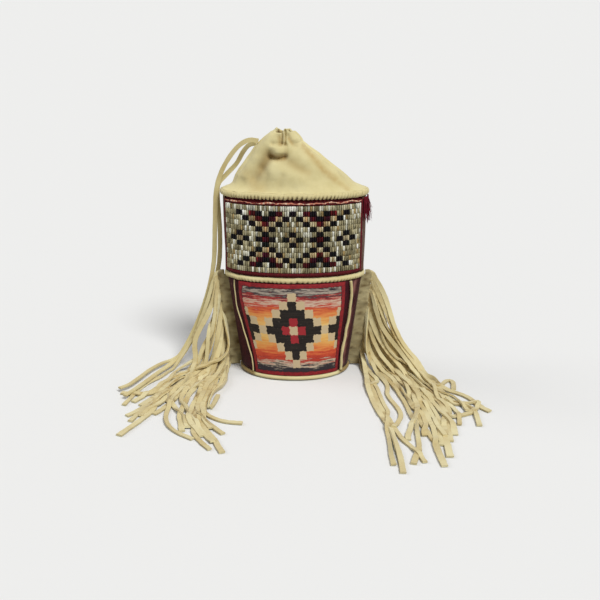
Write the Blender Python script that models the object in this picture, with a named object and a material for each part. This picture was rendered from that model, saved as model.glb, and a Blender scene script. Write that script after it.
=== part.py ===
# Beaded medicine bag: an oval buckskin pouch whose hood is gathered on a drawstring. A loomed band
# of bugle beads goes round it, with a painted panel below and long fringes at both sides.
# Metres, +Z up. The front faces -Y. The origin is the centre of the base's underside.

import math

import bmesh
import bpy
from mathutils import Vector

# Driving dimensions

GAP = 0.0003                    # clearance between two pieces that touch
PANEL_GAP = 0.0006              # clearance between two curved pieces with different facets

BASE_HALF_WIDTH = 0.0480        # outside of the cloth, at the floor
BASE_HALF_DEPTH = 0.0365
WAIST_HALF_WIDTH = 0.0602       # outside of the cloth, at the middle welt
WAIST_HALF_DEPTH = 0.0275
RIM_HALF_WIDTH = 0.0610         # outside of the cloth, at the upper welt, where the bag lies flattest
RIM_HALF_DEPTH = 0.0215
WAIST_HEIGHT = 0.0905
OVAL_POWER = 2.1                # 2 is an ellipse, more is squarer

CLOTH_THICKNESS = 0.0022        # cloth with its lining
BASE_THICKNESS = 0.0030
BASE_WELT_RADIUS = 0.0018
WAIST_WELT_RADIUS = 0.0025
RIM_WELT_RADIUS = 0.0033
STITCH_DEPTH = 0.16             # how far a whip stitch draws the upper welt in, as a share of its radius
RIM_STITCHES = 46

LIP_RISE = 0.0520               # from the upper welt's middle to the hood's lip
LEATHER_THICKNESS = 0.0018      # the turned lip of the hood
MOUTH_DEPTH = 0.0080
FOLDS = 7                       # pleats round the sides and back of the neck
FOLD_DEPTH = 0.12               # as a share of the neck's radius
# Share of the rise from foot to lip, then the left edge, right edge and front depth as shares of the foot's
HOOD_PROFILE = (
    (0.00, -1.000, 1.000, 1.000),
    (0.12, -0.945, 0.950, 0.980),
    (0.21, -0.904, 0.848, 0.947),
    (0.31, -0.868, 0.742, 0.905),
    (0.45, -0.769, 0.564, 0.820),
    (0.60, -0.674, 0.381, 0.747),
    (0.75, -0.564, 0.198, 0.642),
    (0.83, -0.487, 0.096, 0.584),
    (0.89, -0.438, 0.072, 0.547),
    (0.97, -0.350, 0.026, 0.495),
    (1.05, -0.284, -0.010, 0.474),
)
HOOD_ROWS = (0.0, 0.08, 0.19, 0.29, 0.39, 0.48, 0.55, 0.59, 0.63, 0.67, 0.715, 0.76, 0.80, 0.84, 0.89,
             0.945, 1.0)
FRONT_CROWDING = 0.35           # how much closer the hood's facets lie at the front of its neck
# Each peak of the lip: its middle in degrees, its spread in degrees and its height
LIP_PEAKS = ((-58, 22, 0.0030), (42, 34, 0.0028), (180, 20, -0.0010))
# Creases in the hood's front, positive inwards: spread, depth and the points they run through,
# across from the bag's middle and up from the upper welt's
HOOD_CREASES = (
    (0.0014, 0.0032, ((-0.0098, 0.0550), (-0.0090, 0.0420))),
    (0.0017, 0.0038, ((-0.0220, 0.0305), (-0.0150, 0.0292), (-0.0080, 0.0300))),
    (0.0015, 0.0016, ((-0.0160, 0.0425), (-0.0085, 0.0415))),
    (0.0030, 0.0034, ((-0.0205, 0.0370), (-0.0250, 0.0260), (-0.0280, 0.0120))),
    (0.0050, -0.0016, ((-0.0195, 0.0495), (-0.0270, 0.0380), (-0.0350, 0.0260), (-0.0420, 0.0130))),
    (0.0016, 0.0016, ((-0.0062, 0.0520), (-0.0015, 0.0425), (0.0016, 0.0400))),
    (0.0110, -0.0020, ((-0.0140, 0.0100), (0.0010, 0.0100))),
)
PUFF_MIDDLE = (-0.0142, 0.0362)     # the pleat that the drawstring pulls up at the front of the neck
PUFF_HALF_SIZE = (0.0068, 0.0044)
PUFF_RISE = 0.0044

BEAD_LENGTH = 0.00450           # one row of upright bugle beads
CELL_WIDTH = 0.00568            # three beads side by side
BEAD_ROWS = 13
BEAD_COLUMNS = 21
BACK_COLUMNS = 12               # the back panel is drawn in whole rows, this many facets wide
PANEL_SHIFT = -0.0016           # the front panel is sewn on this far to the left of the middle
BAND_MARGIN = 0.0046            # from a bead panel to the welt above or below it
PANEL_THICKNESS = 0.0014        # loomed backing under the beads
BEAD_RISE = 0.0007
BEAD_GROOVE = 0.00045
BINDING_WIDTH = 0.0026
BINDING_THICKNESS = 0.0019
RIBBON_THICKNESS = 0.0011

PICTURE_TOP_LEFT = -0.0505      # distances along the wall from the middle of the front
PICTURE_TOP_RIGHT = 0.0450
PICTURE_BOTTOM_LEFT = -0.0360
PICTURE_BOTTOM_RIGHT = 0.0400
PICTURE_THICKNESS = 0.0011
PICTURE_BORDER = 0.0034
PIPING_LEFT_RADIUS = 0.0008
PIPING_RIGHT_RADIUS = 0.0013
PIPING_STANDOFF = 0.0022        # between the picture's edge and its piping

FRAY_WIDTH = 0.0125
FRAY_LENGTH = 0.0260
FRAY_THICKNESS = 0.0010

HEADER_WIDTH = 0.0078           # suede strip in each side seam, from which the fringe is cut
HEADER_FOOT_WIDTH = 0.0100
HEADER_THICKNESS = 0.0022
HEADER_BOTTOM = 0.0012
HEADER_RISE = 0.0015            # how far its top stands above the middle welt's centre
THONGS = 14
THONG_WIDTH = 0.0034
THONG_THICKNESS = 0.0016
THONG_STUB = 0.0045             # a thong leaves the strip straight before it turns and falls
DROOP_REACH = 0.0500            # how far out a thong from the top of the strip lands
DROOP_POWER = 1.58
FLOOR_STANDOFF = 0.0004
# Headings of the lowest and highest thong in degrees, 270 to the front, then how far they reach
FRINGE_LEFT = ((278, 216), (0.165, 0.105))
FRINGE_RIGHT = ((266, 322), (0.195, 0.110))

LACE_DIAMETER = 0.0030

ROUND_STEPS = 48
PALETTE = {
    "buckskin": ((0.72, 0.64, 0.40), 0.85),
    "suede": ((0.38, 0.32, 0.17), 0.95),
    "maroon": ((0.10, 0.012, 0.018), 0.9),
    "bead_clear": ((0.42, 0.38, 0.25), 0.25),
    "bead_black": ((0.01, 0.01, 0.012), 0.2),
    "bead_red": ((0.16, 0.008, 0.02), 0.25),
    "bead_tan": ((0.55, 0.40, 0.18), 0.3),
    "paint_red": ((0.33, 0.02, 0.025), 0.7),
    "paint_orange": ((0.72, 0.20, 0.05), 0.7),
    "paint_yellow": ((0.75, 0.42, 0.10), 0.7),
    "paint_dark": ((0.03, 0.025, 0.03), 0.7),
}

# The bead pattern, right half from the middle column outwards, from the top row to the middle row
BEAD_CHART = (
    "...........",
    "K.RK.KR.K..",
    ".KTRKRTK...",
    "..KTRTK....",
    "...KTK.....",
    "K...K...K..",
    "TK.KRK.KTK.",
)
BEAD_COLOURS = {".": "bead_clear", "K": "bead_black", "R": "bead_red", "T": "bead_tan"}

LACE_EXITS = ((-92, 0.84), (-112, 0.78))    # angle round the hood in degrees, share of its rise
LACE_STANDOFF = 0.0030
# Routes of the two loose ends of the drawstring from beside the neck to the floor, drawn for this welt
ROUTE_WELT = (0.0610, 0.1647)
OUTER_ROUTE = (
    (-0.0390, -0.0005, 0.2090), (-0.0480, -0.0005, 0.2040),
    (-0.0570, 0.0000, 0.1930), (-0.0640, 0.0005, 0.1800), (-0.0685, 0.0010, 0.1650),
    (-0.0700, 0.0020, 0.1450), (-0.0710, 0.0030, 0.1250), (-0.0720, 0.0042, 0.1050),
    (-0.0740, 0.0050, 0.0900), (-0.0780, 0.0050, 0.0720), (-0.0860, 0.0040, 0.0480),
    (-0.0960, 0.0018, 0.0260), (-0.1055, -0.0030, 0.0110), (-0.1140, -0.0115, 0.0048),
    (-0.1220, -0.0265, 0.0040), (-0.1290, -0.0440, 0.0040), (-0.1370, -0.0620, 0.0040),
    (-0.1450, -0.0780, 0.0040),
)
INNER_ROUTE = (
    (-0.0395, 0.0085, 0.2030), (-0.0450, 0.0105, 0.1965),
    (-0.0510, 0.0115, 0.1860), (-0.0600, 0.0105, 0.1765), (-0.0672, 0.0092, 0.1680),
    (-0.0680, 0.0085, 0.1560), (-0.0672, 0.0080, 0.1400), (-0.0668, 0.0080, 0.1250),
    (-0.0672, 0.0084, 0.1080), (-0.0690, 0.0092, 0.0920), (-0.0740, 0.0100, 0.0720),
    (-0.0820, 0.0100, 0.0500), (-0.0915, 0.0088, 0.0300), (-0.1015, 0.0062, 0.0130),
    (-0.1115, 0.0015, 0.0050), (-0.1220, -0.0070, 0.0040), (-0.1310, -0.0225, 0.0040),
    (-0.1380, -0.0400, 0.0040), (-0.1445, -0.0545, 0.0040), (-0.1520, -0.0625, 0.0040),
)

# Worked out from the driving dimensions

POUCH_OFFSET = -(CLOTH_THICKNESS + GAP)
POUCH_BOTTOM = BASE_THICKNESS + GAP
BASE_WELT_HEIGHT = BASE_WELT_RADIUS + FLOOR_STANDOFF
BASE_WELT_INSET = POUCH_OFFSET + CLOTH_THICKNESS / 2 + BASE_WELT_RADIUS
SKIRT_BOTTOM = BASE_WELT_HEIGHT + BASE_WELT_RADIUS + GAP
SKIRT_TOP = WAIST_HEIGHT - WAIST_WELT_RADIUS - GAP
BAND_BOTTOM = WAIST_HEIGHT + WAIST_WELT_RADIUS + GAP
BAND_TOP = BAND_BOTTOM + 2 * BAND_MARGIN + BEAD_ROWS * BEAD_LENGTH
RIM_HEIGHT = BAND_TOP + GAP + RIM_WELT_RADIUS
BAND_MIDDLE = (BAND_BOTTOM + BAND_TOP) / 2
PANEL_HALF_HEIGHT = BEAD_ROWS * BEAD_LENGTH / 2
PANEL_HALF_ARC = BEAD_COLUMNS * CELL_WIDTH / 2
HOOD_FOOT = RIM_HEIGHT - 0.7 * RIM_WELT_RADIUS


def mix(start, end, share):
    return start + (end - start) * share


def smooth(share):
    share = min(max(share, 0.0), 1.0)
    return share * share * (3 - 2 * share)


# The wall of the bag

def oval_point(half_width, half_depth, angle, height):
    side, front = math.sin(angle), math.cos(angle)
    power = 2 / OVAL_POWER
    x = half_width * math.copysign(abs(side) ** power, side)
    y = -half_depth * math.copysign(abs(front) ** power, front)
    return Vector((x, y, height))


def wall(height):
    if height <= WAIST_HEIGHT:
        share = height / WAIST_HEIGHT
        return mix(BASE_HALF_WIDTH, WAIST_HALF_WIDTH, share), mix(BASE_HALF_DEPTH, WAIST_HALF_DEPTH, share)
    share = (height - WAIST_HEIGHT) / (RIM_HEIGHT - WAIST_HEIGHT)
    return mix(WAIST_HALF_WIDTH, RIM_HALF_WIDTH, share), mix(WAIST_HALF_DEPTH, RIM_HALF_DEPTH, share)


def surface_point(angle, height, offset):
    half_width, half_depth = wall(height)
    return oval_point(half_width + offset, half_depth + offset, angle, height)


def angle_at(arc, height):
    """The angle that lies a distance of arc along the wall from the middle of the front."""
    step = math.radians(0.5)
    angle, run = 0.0, 0.0
    last = surface_point(0.0, height, 0.0)
    while run < abs(arc):
        here = surface_point(angle + step, height, 0.0)
        length = (here - last).length
        if run + length > abs(arc):
            step *= (abs(arc) - run) / length
            angle += step
            break
        run += length
        angle += step
        last = here
    return math.copysign(angle, arc)


# Turning points into objects

def material(colour):
    name = colour
    found = bpy.data.materials.get(name)
    if found:
        return found
    made = bpy.data.materials.new(name)
    made.use_nodes = True
    shader = made.node_tree.nodes["Principled BSDF"]
    base, roughness = PALETTE[colour]
    shader.inputs["Base Color"].default_value = (*base, 1.0)
    shader.inputs["Roughness"].default_value = roughness
    return made


def finish(name, bm, colours):
    bmesh.ops.recalc_face_normals(bm, faces=bm.faces)
    mesh = bpy.data.meshes.new(name)
    bm.to_mesh(mesh)
    bm.free()
    mesh.shade_smooth()
    mesh.set_sharp_from_angle(angle=math.radians(35))
    for colour in colours:
        mesh.materials.append(material(colour))
    made = bpy.data.objects.new(name, mesh)
    bpy.context.scene.collection.objects.link(made)
    return made


def bridge(bm, first, second, hollow=False):
    """Faces between two rings. Hollow ones fold inwards, so that nested walls stay clear of each other."""
    count = len(first)
    for place in range(count):
        after = (place + 1) % count
        corners = (first[place], first[after], second[after], second[place])
        if not hollow:
            bm.faces.new(corners)
            continue
        if (corners[0].co + corners[2].co).xy.length > (corners[1].co + corners[3].co).xy.length:
            corners = corners[1:] + corners[:1]
        bm.faces.new(corners[:3])
        bm.faces.new((corners[0], corners[2], corners[3]))


def loft(name, rings, colour, closed=False, hollow_rings=0):
    """A body through rings of points. A closed one joins its last ring to its first."""
    bm = bmesh.new()
    loops = [[bm.verts.new(point) for point in ring] for ring in rings]
    for number, (lower, upper) in enumerate(zip(loops, loops[1:])):
        bridge(bm, lower, upper, number < hollow_rings)
    if closed:
        bridge(bm, loops[-1], loops[0], hollow_rings > 0)
    else:
        bm.faces.new(loops[0])
        bm.faces.new(loops[-1])
    return finish(name, bm, [colour])


def ring_of_cloth(name, bottom, top):
    """A tube of cloth that follows the wall from one height to another."""
    rings = []
    corners = ((bottom, 0.0), (top, 0.0), (top, -CLOTH_THICKNESS), (bottom, -CLOTH_THICKNESS))
    for height, offset in corners:
        rings.append([surface_point(math.tau * step / ROUND_STEPS, height, offset)
                      for step in range(ROUND_STEPS)])
    return loft(name, rings, "maroon", closed=True, hollow_rings=len(rings))


def welt(name, height, radius, steps, sides, stitch_depth):
    """A rolled strip of buckskin round the wall, drawn in at every second step where it is stitched."""
    half_width, half_depth = wall(height)
    centre = POUCH_OFFSET + GAP + radius
    rings = []
    for step in range(steps):
        angle = math.tau * step / steps
        local = radius * (1 - stitch_depth * (step % 2))
        ring = []
        for side in range(sides):
            turn = math.tau * (side + 0.5) / sides
            offset = centre + local * math.cos(turn)
            ring.append(oval_point(half_width + offset, half_depth + offset, angle,
                                   height + local * math.sin(turn)))
        rings.append(ring)
    return loft(name, rings, "buckskin", closed=True)


def patch(name, place, across, along, inner, outer, colour_of, colours):
    """A thin curved panel. place(u, v, offset) gives its points, u across it and v up it."""
    bm = bmesh.new()
    grids = []
    for offset in (outer, inner):
        grids.append([[bm.verts.new(place(u, v, offset)) for u in across] for v in along])
    front, back = grids
    columns, rows = len(across) - 1, len(along) - 1
    for row in range(rows):
        for column in range(columns):
            for grid in grids:
                face = bm.faces.new((grid[row][column], grid[row][column + 1],
                                     grid[row + 1][column + 1], grid[row + 1][column]))
                face.material_index = colours.index(colour_of(column, row))
    edge = [(0, column) for column in range(columns)]
    edge += [(row, columns) for row in range(rows)]
    edge += [(rows, columns - column) for column in range(columns)]
    edge += [(rows - row, 0) for row in range(rows)]
    for here, after in zip(edge, edge[1:] + edge[:1]):
        bm.faces.new((front[here[0]][here[1]], front[after[0]][after[1]],
                      back[after[0]][after[1]], back[here[0]][here[1]]))
    return finish(name, bm, colours)


# The pouch and its base

def lip_height(angle):
    height = RIM_HEIGHT + LIP_RISE
    for middle, spread, rise in LIP_PEAKS:
        away = (math.degrees(angle) - middle + 180) % 360 - 180
        height += rise * math.exp(-(away / spread) ** 2)
    return height


def profile_at(rise):
    """The hood's left edge, right edge and front depth at a share of its rise."""
    for lower, upper in zip(HOOD_PROFILE, HOOD_PROFILE[1:]):
        if rise <= upper[0]:
            break
    share = (rise - lower[0]) / (upper[0] - lower[0])
    return [mix(start, end, share) for start, end in zip(lower[1:], upper[1:])]


def cone_point(angle, height):
    """The hood before its creases: a cone that leans to its neck, pleated round the sides and back."""
    foot_width, foot_depth = wall(HOOD_FOOT)
    rise = (height - HOOD_FOOT) / (RIM_HEIGHT + LIP_RISE - HOOD_FOOT)
    left, right, deep = profile_at(rise)
    back = smooth((abs(angle) - math.radians(62)) / math.radians(34))
    pleat = 1 + back * FOLD_DEPTH * max(rise, 0.0) ** 1.6 * math.cos(FOLDS * angle)
    half_width = (foot_width + POUCH_OFFSET) * (right - left) / 2 * pleat
    half_depth = (foot_depth + POUCH_OFFSET) * deep * pleat
    point = oval_point(half_width, half_depth, angle, height)
    point.x += (foot_width + POUCH_OFFSET) * (right + left) / 2
    return point


def nearness(across, above, spread, points):
    """1 on a crease's line and 0 well away from it."""
    best = math.inf
    for start, end in zip(points, points[1:]):
        along = Vector(end) - Vector(start)
        offset = Vector((across, above)) - Vector(start)
        share = min(max(offset.dot(along) / along.length_squared, 0.0), 1.0)
        best = min(best, (offset - share * along).length)
    return math.exp(-(best / spread) ** 2)


def hood_point(angle, height):
    point = cone_point(angle, height)
    front = smooth((math.cos(angle) - 0.05) / 0.25) * smooth((height - HOOD_FOOT) / (4 * RIM_WELT_RADIUS))
    if front == 0:
        return point
    step = math.radians(1)
    beside = cone_point(angle + step, height) - cone_point(angle - step, height)
    upward = cone_point(angle, height + GAP) - cone_point(angle, height - GAP)
    normal = beside.cross(upward).normalized()
    above = height - RIM_HEIGHT
    press = sum(depth * nearness(point.x, above, spread, points) for spread, depth, points in HOOD_CREASES)
    reach = [(place - middle) / size for place, middle, size in
             zip((point.x, above), PUFF_MIDDLE, PUFF_HALF_SIZE)]
    press -= PUFF_RISE * math.exp(-reach[0] ** 4 - reach[1] ** 4)
    return point - normal * press * front


def turned(step):
    angle = math.tau * step / ROUND_STEPS
    return angle - math.tau if angle > math.pi else angle


def pouch_body():
    angles = [turned(step) for step in range(ROUND_STEPS)]
    rings = []
    for height in (POUCH_BOTTOM, WAIST_HEIGHT):
        rings.append([surface_point(angle, height, POUCH_OFFSET) for angle in angles])
    for rise in HOOD_ROWS:
        crowded = [angle - FRONT_CROWDING * smooth(2 * rise) * math.sin(angle) for angle in angles]
        rings.append([hood_point(angle, mix(HOOD_FOOT, lip_height(angle), rise)) for angle in crowded])
    lip = rings[-1]
    middle = sum(lip, Vector()) / len(lip)
    for inward, sink in ((LEATHER_THICKNESS, 0.0), (2 * LEATHER_THICKNESS, MOUTH_DEPTH)):
        ring = []
        for point in lip:
            away = Vector((point.x - middle.x, point.y - middle.y, 0.0))
            ring.append(point - away.normalized() * inward - Vector((0, 0, sink)))
        rings.append(ring)
    return loft("pouch_body", rings, "buckskin", hollow_rings=2)


def base_panel():
    inset = POUCH_OFFSET - GAP + 0.5 * CLOTH_THICKNESS
    rings = []
    for height in (0.0, BASE_THICKNESS):
        rings.append([oval_point(BASE_HALF_WIDTH + inset, BASE_HALF_DEPTH + inset,
                                 math.tau * step / ROUND_STEPS, height) for step in range(ROUND_STEPS)])
    return loft("base_panel", rings, "buckskin")


def base_welt():
    sides = 4
    rings = []
    for step in range(ROUND_STEPS):
        ring = []
        for side in range(sides):
            turn = math.tau * side / sides
            offset = BASE_WELT_INSET + BASE_WELT_RADIUS * math.cos(turn)
            ring.append(oval_point(BASE_HALF_WIDTH + offset, BASE_HALF_DEPTH + offset,
                                   math.tau * step / ROUND_STEPS,
                                   BASE_WELT_HEIGHT + BASE_WELT_RADIUS * math.sin(turn)))
        rings.append(ring)
    return loft("base_welt", rings, "buckskin", closed=True)


# The band of beads

def bead_colour(column, row):
    chart_row = BEAD_CHART[min(row, BEAD_ROWS - 1 - row, len(BEAD_CHART) - 1)]
    from_middle = abs(column - (BEAD_COLUMNS - 1) // 2)
    mark = chart_row[from_middle] if from_middle < len(chart_row) else "."
    return BEAD_COLOURS[mark]


def bead_panel(name, middle, shift, columns, rows_whole):
    """The loomed panel. Cells of three beads, or whole rows of them, stand up from its backing."""
    bm = bmesh.new()
    shares = [2 * column / columns - 1 for column in range(columns + 1)]
    if rows_whole:
        angles = [middle + angle_at(PANEL_HALF_ARC, BAND_MIDDLE) * share for share in shares]
    else:
        angles = [middle + angle_at(shift + PANEL_HALF_ARC * share, BAND_MIDDLE) for share in shares]
    heights = [BAND_MIDDLE + PANEL_HALF_HEIGHT * (2 * row / BEAD_ROWS - 1) for row in range(BEAD_ROWS + 1)]
    face_offset = PANEL_GAP + PANEL_THICKNESS
    front = [[bm.verts.new(surface_point(angle, height, face_offset)) for angle in angles]
             for height in heights]
    back = [[bm.verts.new(surface_point(angle, height, PANEL_GAP)) for angle in angles]
            for height in (heights[0], heights[-1])]
    colours = list(BEAD_COLOURS.values())
    bead_rows = []
    for row in range(BEAD_ROWS):
        cells = []
        for column in range(columns):
            cell = bm.faces.new((front[row][column], front[row][column + 1],
                                 front[row + 1][column + 1], front[row + 1][column]))
            chart_column = int((column + 0.5) / columns * BEAD_COLUMNS)
            cell.material_index = colours.index(bead_colour(chart_column, row))
            cells.append(cell)
        bead_rows.append(cells)
    for column in range(columns):
        bm.faces.new((back[0][column + 1], back[0][column], back[1][column], back[1][column + 1]))
        bm.faces.new((front[0][column + 1], front[0][column], back[0][column], back[0][column + 1]))
        bm.faces.new((front[-1][column], front[-1][column + 1], back[1][column + 1], back[1][column]))
    bm.faces.new([back[0][0]] + [line[0] for line in front] + [back[1][0]])
    bm.faces.new([line[-1] for line in front] + [back[1][-1], back[0][-1]])
    bmesh.ops.recalc_face_normals(bm, faces=bm.faces)
    for cells in bead_rows:
        if rows_whole:
            bmesh.ops.inset_region(bm, faces=cells, thickness=BEAD_GROOVE, depth=BEAD_RISE,
                                   use_even_offset=True, use_boundary=True)
        else:
            bmesh.ops.inset_individual(bm, faces=cells, thickness=BEAD_GROOVE, depth=BEAD_RISE)
    return finish(name, bm, colours)


def panel_binding(name, middle, shift):
    """Cloth folded over the edge of a bead panel, as one frame."""
    steps = 14
    inner_arc, inner_rise = PANEL_HALF_ARC + GAP, PANEL_HALF_HEIGHT + GAP
    loops = []
    for grow in (0.0, BINDING_WIDTH):
        arc = inner_arc + grow
        rise = inner_rise + grow
        first, last = angle_at(shift - arc, BAND_MIDDLE), angle_at(shift + arc, BAND_MIDDLE)
        along = [middle + mix(first, last, step / steps) for step in range(steps + 1)]
        loop = [(place, rise) for place in along] + [(place, -rise) for place in reversed(along)]
        loops.append(loop)
    bm = bmesh.new()
    rings = []
    for loop, offset in ((loops[0], PANEL_GAP), (loops[0], PANEL_GAP + BINDING_THICKNESS),
                         (loops[1], PANEL_GAP + BINDING_THICKNESS), (loops[1], PANEL_GAP)):
        rings.append([bm.verts.new(surface_point(angle, BAND_MIDDLE + rise, offset))
                      for angle, rise in loop])
    for here, after in zip(rings, rings[1:] + rings[:1]):
        bridge(bm, here, after)
    return finish(name, bm, ["maroon"])


def band_ribbon(name, side):
    """The strip of ribbon that shows between the two bound panels at one side."""
    reach = PANEL_HALF_ARC + GAP + BINDING_WIDTH + GAP
    front_edge = angle_at(reach + side * PANEL_SHIFT, BAND_MIDDLE)
    back_edge = math.pi - angle_at(reach, BAND_MIDDLE)
    low, high = BAND_BOTTOM + GAP, BAND_TOP - GAP

    def place(u, v, offset):
        return surface_point(side * mix(front_edge, back_edge, u), mix(low, high, v), offset)

    across = [step / 4 for step in range(5)]
    return patch(name, place, across, (0.0, 1.0), PANEL_GAP, PANEL_GAP + RIBBON_THICKNESS,
                 lambda column, row: "maroon", ["maroon"])


def cloth_fray():
    """A worn edge of the band's cloth that hangs out under the upper welt at the right."""
    inner = PANEL_GAP + BINDING_THICKNESS + GAP
    start = PANEL_SHIFT + PANEL_HALF_ARC + BINDING_WIDTH
    top = BAND_TOP - GAP
    lengths = (0.35, 1.0, 0.55, 0.85, 0.40)

    def place(u, v, offset):
        drop = FRAY_LENGTH * lengths[round(u * (len(lengths) - 1))]
        angle = angle_at(start + FRAY_WIDTH * u, BAND_MIDDLE)
        return surface_point(angle, top - drop * (1 - v), offset)

    across = [step / (len(lengths) - 1) for step in range(len(lengths))]
    return patch("cloth_fray", place, across, (0.0, 0.5, 1.0), inner, inner + FRAY_THICKNESS,
                 lambda column, row: "maroon", ["maroon"])


# The painted panel

def picture_edge(top, bottom, height):
    share = (height - SKIRT_BOTTOM) / (SKIRT_TOP - SKIRT_BOTTOM)
    return mix(bottom, top, smooth(share * 1.1))


def picture_panel():
    """A painted panel with a red border. Its field is bands of sunset colours with a stepped diamond."""
    low, high = SKIRT_BOTTOM + GAP, SKIRT_TOP - GAP

    def place(u, v, offset):
        height = mix(low, high, v)
        left = picture_edge(PICTURE_TOP_LEFT, PICTURE_BOTTOM_LEFT, height)
        right = picture_edge(PICTURE_TOP_RIGHT, PICTURE_BOTTOM_RIGHT, height)
        return surface_point(angle_at(mix(left, right, u), height), height, offset)

    side = PICTURE_BORDER / (PICTURE_TOP_RIGHT - PICTURE_TOP_LEFT)
    end = PICTURE_BORDER / (high - low)
    columns, rows = 11, 7
    across = [0.0] + [mix(side, 1 - side, step / columns) for step in range(columns + 1)] + [1.0]
    along = [0.0] + [mix(end, 1 - end, step / rows) for step in range(rows + 1)] + [1.0]
    bands = ("paint_dark", "paint_yellow", "paint_orange", "paint_yellow", "paint_orange", "paint_red",
             "paint_dark")

    def colour_of(column, row):
        if column in (0, columns + 1) or row in (0, rows + 1):
            return "paint_red"
        step = abs(column - 1 - (columns - 1) / 2) + abs(row - 1 - (rows - 1) / 2)
        if step in (2, 3):
            return "paint_dark"
        return "buckskin" if step == 0 else bands[row - 1]

    colours = ["paint_red", "paint_dark", "paint_yellow", "paint_orange", "buckskin"]
    return patch("picture_panel", place, across, along, PANEL_GAP, PANEL_GAP + PICTURE_THICKNESS,
                 colour_of, colours)


def picture_piping(name, top, bottom, side, radius):
    """A thin rolled strip beside the picture, from welt to welt."""
    sides, steps = 5, 9
    low, high = SKIRT_BOTTOM + GAP, SKIRT_TOP - GAP
    rings = []
    for step in range(steps + 1):
        height = mix(low, high, step / steps)
        arc = picture_edge(top, bottom, height) + side * (PIPING_STANDOFF + radius)
        angle = angle_at(arc, height)
        foot = surface_point(angle, height, PANEL_GAP + radius)
        out = (surface_point(angle, height, PANEL_GAP + 2 * radius) - foot).normalized()
        along = Vector((-out.y, out.x, 0.0)).normalized()
        ring = []
        for number in range(sides):
            turn = math.tau * number / sides
            ring.append(foot + radius * (math.cos(turn) * out + math.sin(turn) * along))
        rings.append(ring)
    return loft(name, rings, "buckskin")


# The fringes

def droop(reach, top):
    """How far a thong has fallen when it is reach away from the strip."""
    return top * (reach / DROOP_REACH) ** DROOP_POWER


def spread_order(count):
    """Places from 0 to 1 for thongs from the lowest to the highest, each between those before it."""
    places = [1.0, 0.0]
    parts = 2
    while len(places) < count:
        places += [(2 * number + 1) / parts for number in range(parts // 2)]
        parts *= 2
    return places[:count]


def thong_rings(start, side, heading, reach, top, bend):
    """The four-cornered sections of one thong, out of the strip, down and along the floor."""
    away = Vector((math.cos(heading), math.sin(heading), 0.0))
    across = Vector((-away.y, away.x, 0.0))
    rest = FLOOR_STANDOFF + THONG_THICKNESS / 2
    turn_point = start + Vector((side * THONG_STUB, 0.0, 0.0))
    landing = DROOP_REACH * ((start.z - rest) / top) ** (1 / DROOP_POWER)
    centres = [start, turn_point]
    for share in (0.40, 0.72, 1.0):
        run = landing * share
        centres.append(turn_point + away * run - Vector((0, 0, droop(run, top))))
    centres[-1].z = rest
    for share in (0.3, 0.65, 1.0):
        run = mix(landing, reach, share)
        sway = bend * math.sin(math.pi * share * 1.3) * (reach - landing)
        point = turn_point + away * run + across * sway
        point.z = rest
        centres.append(point)
    rings = []
    for number, centre in enumerate(centres):
        before, after = centres[max(number - 1, 0)], centres[min(number + 1, len(centres) - 1)]
        forward = (after - before).normalized()
        flat = Vector((-forward.y, forward.x, 0.0)).normalized()
        lean = smooth((number - 0.2) / 1.6)
        width_way = (Vector((0, 0, 1)) * (1 - lean) + flat * lean * -side).normalized()
        width_way = (width_way - forward * width_way.dot(forward)).normalized()
        thick_way = forward.cross(width_way)
        half = mix(HEADER_THICKNESS, THONG_THICKNESS, min(number, 1)) / 2
        ring = []
        for wide, thick in ((1, 1), (1, -1), (-1, -1), (-1, 1)):
            ring.append(centre + width_way * wide * THONG_WIDTH / 2 + thick_way * thick * half)
        rings.append(ring)
    return rings


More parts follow.
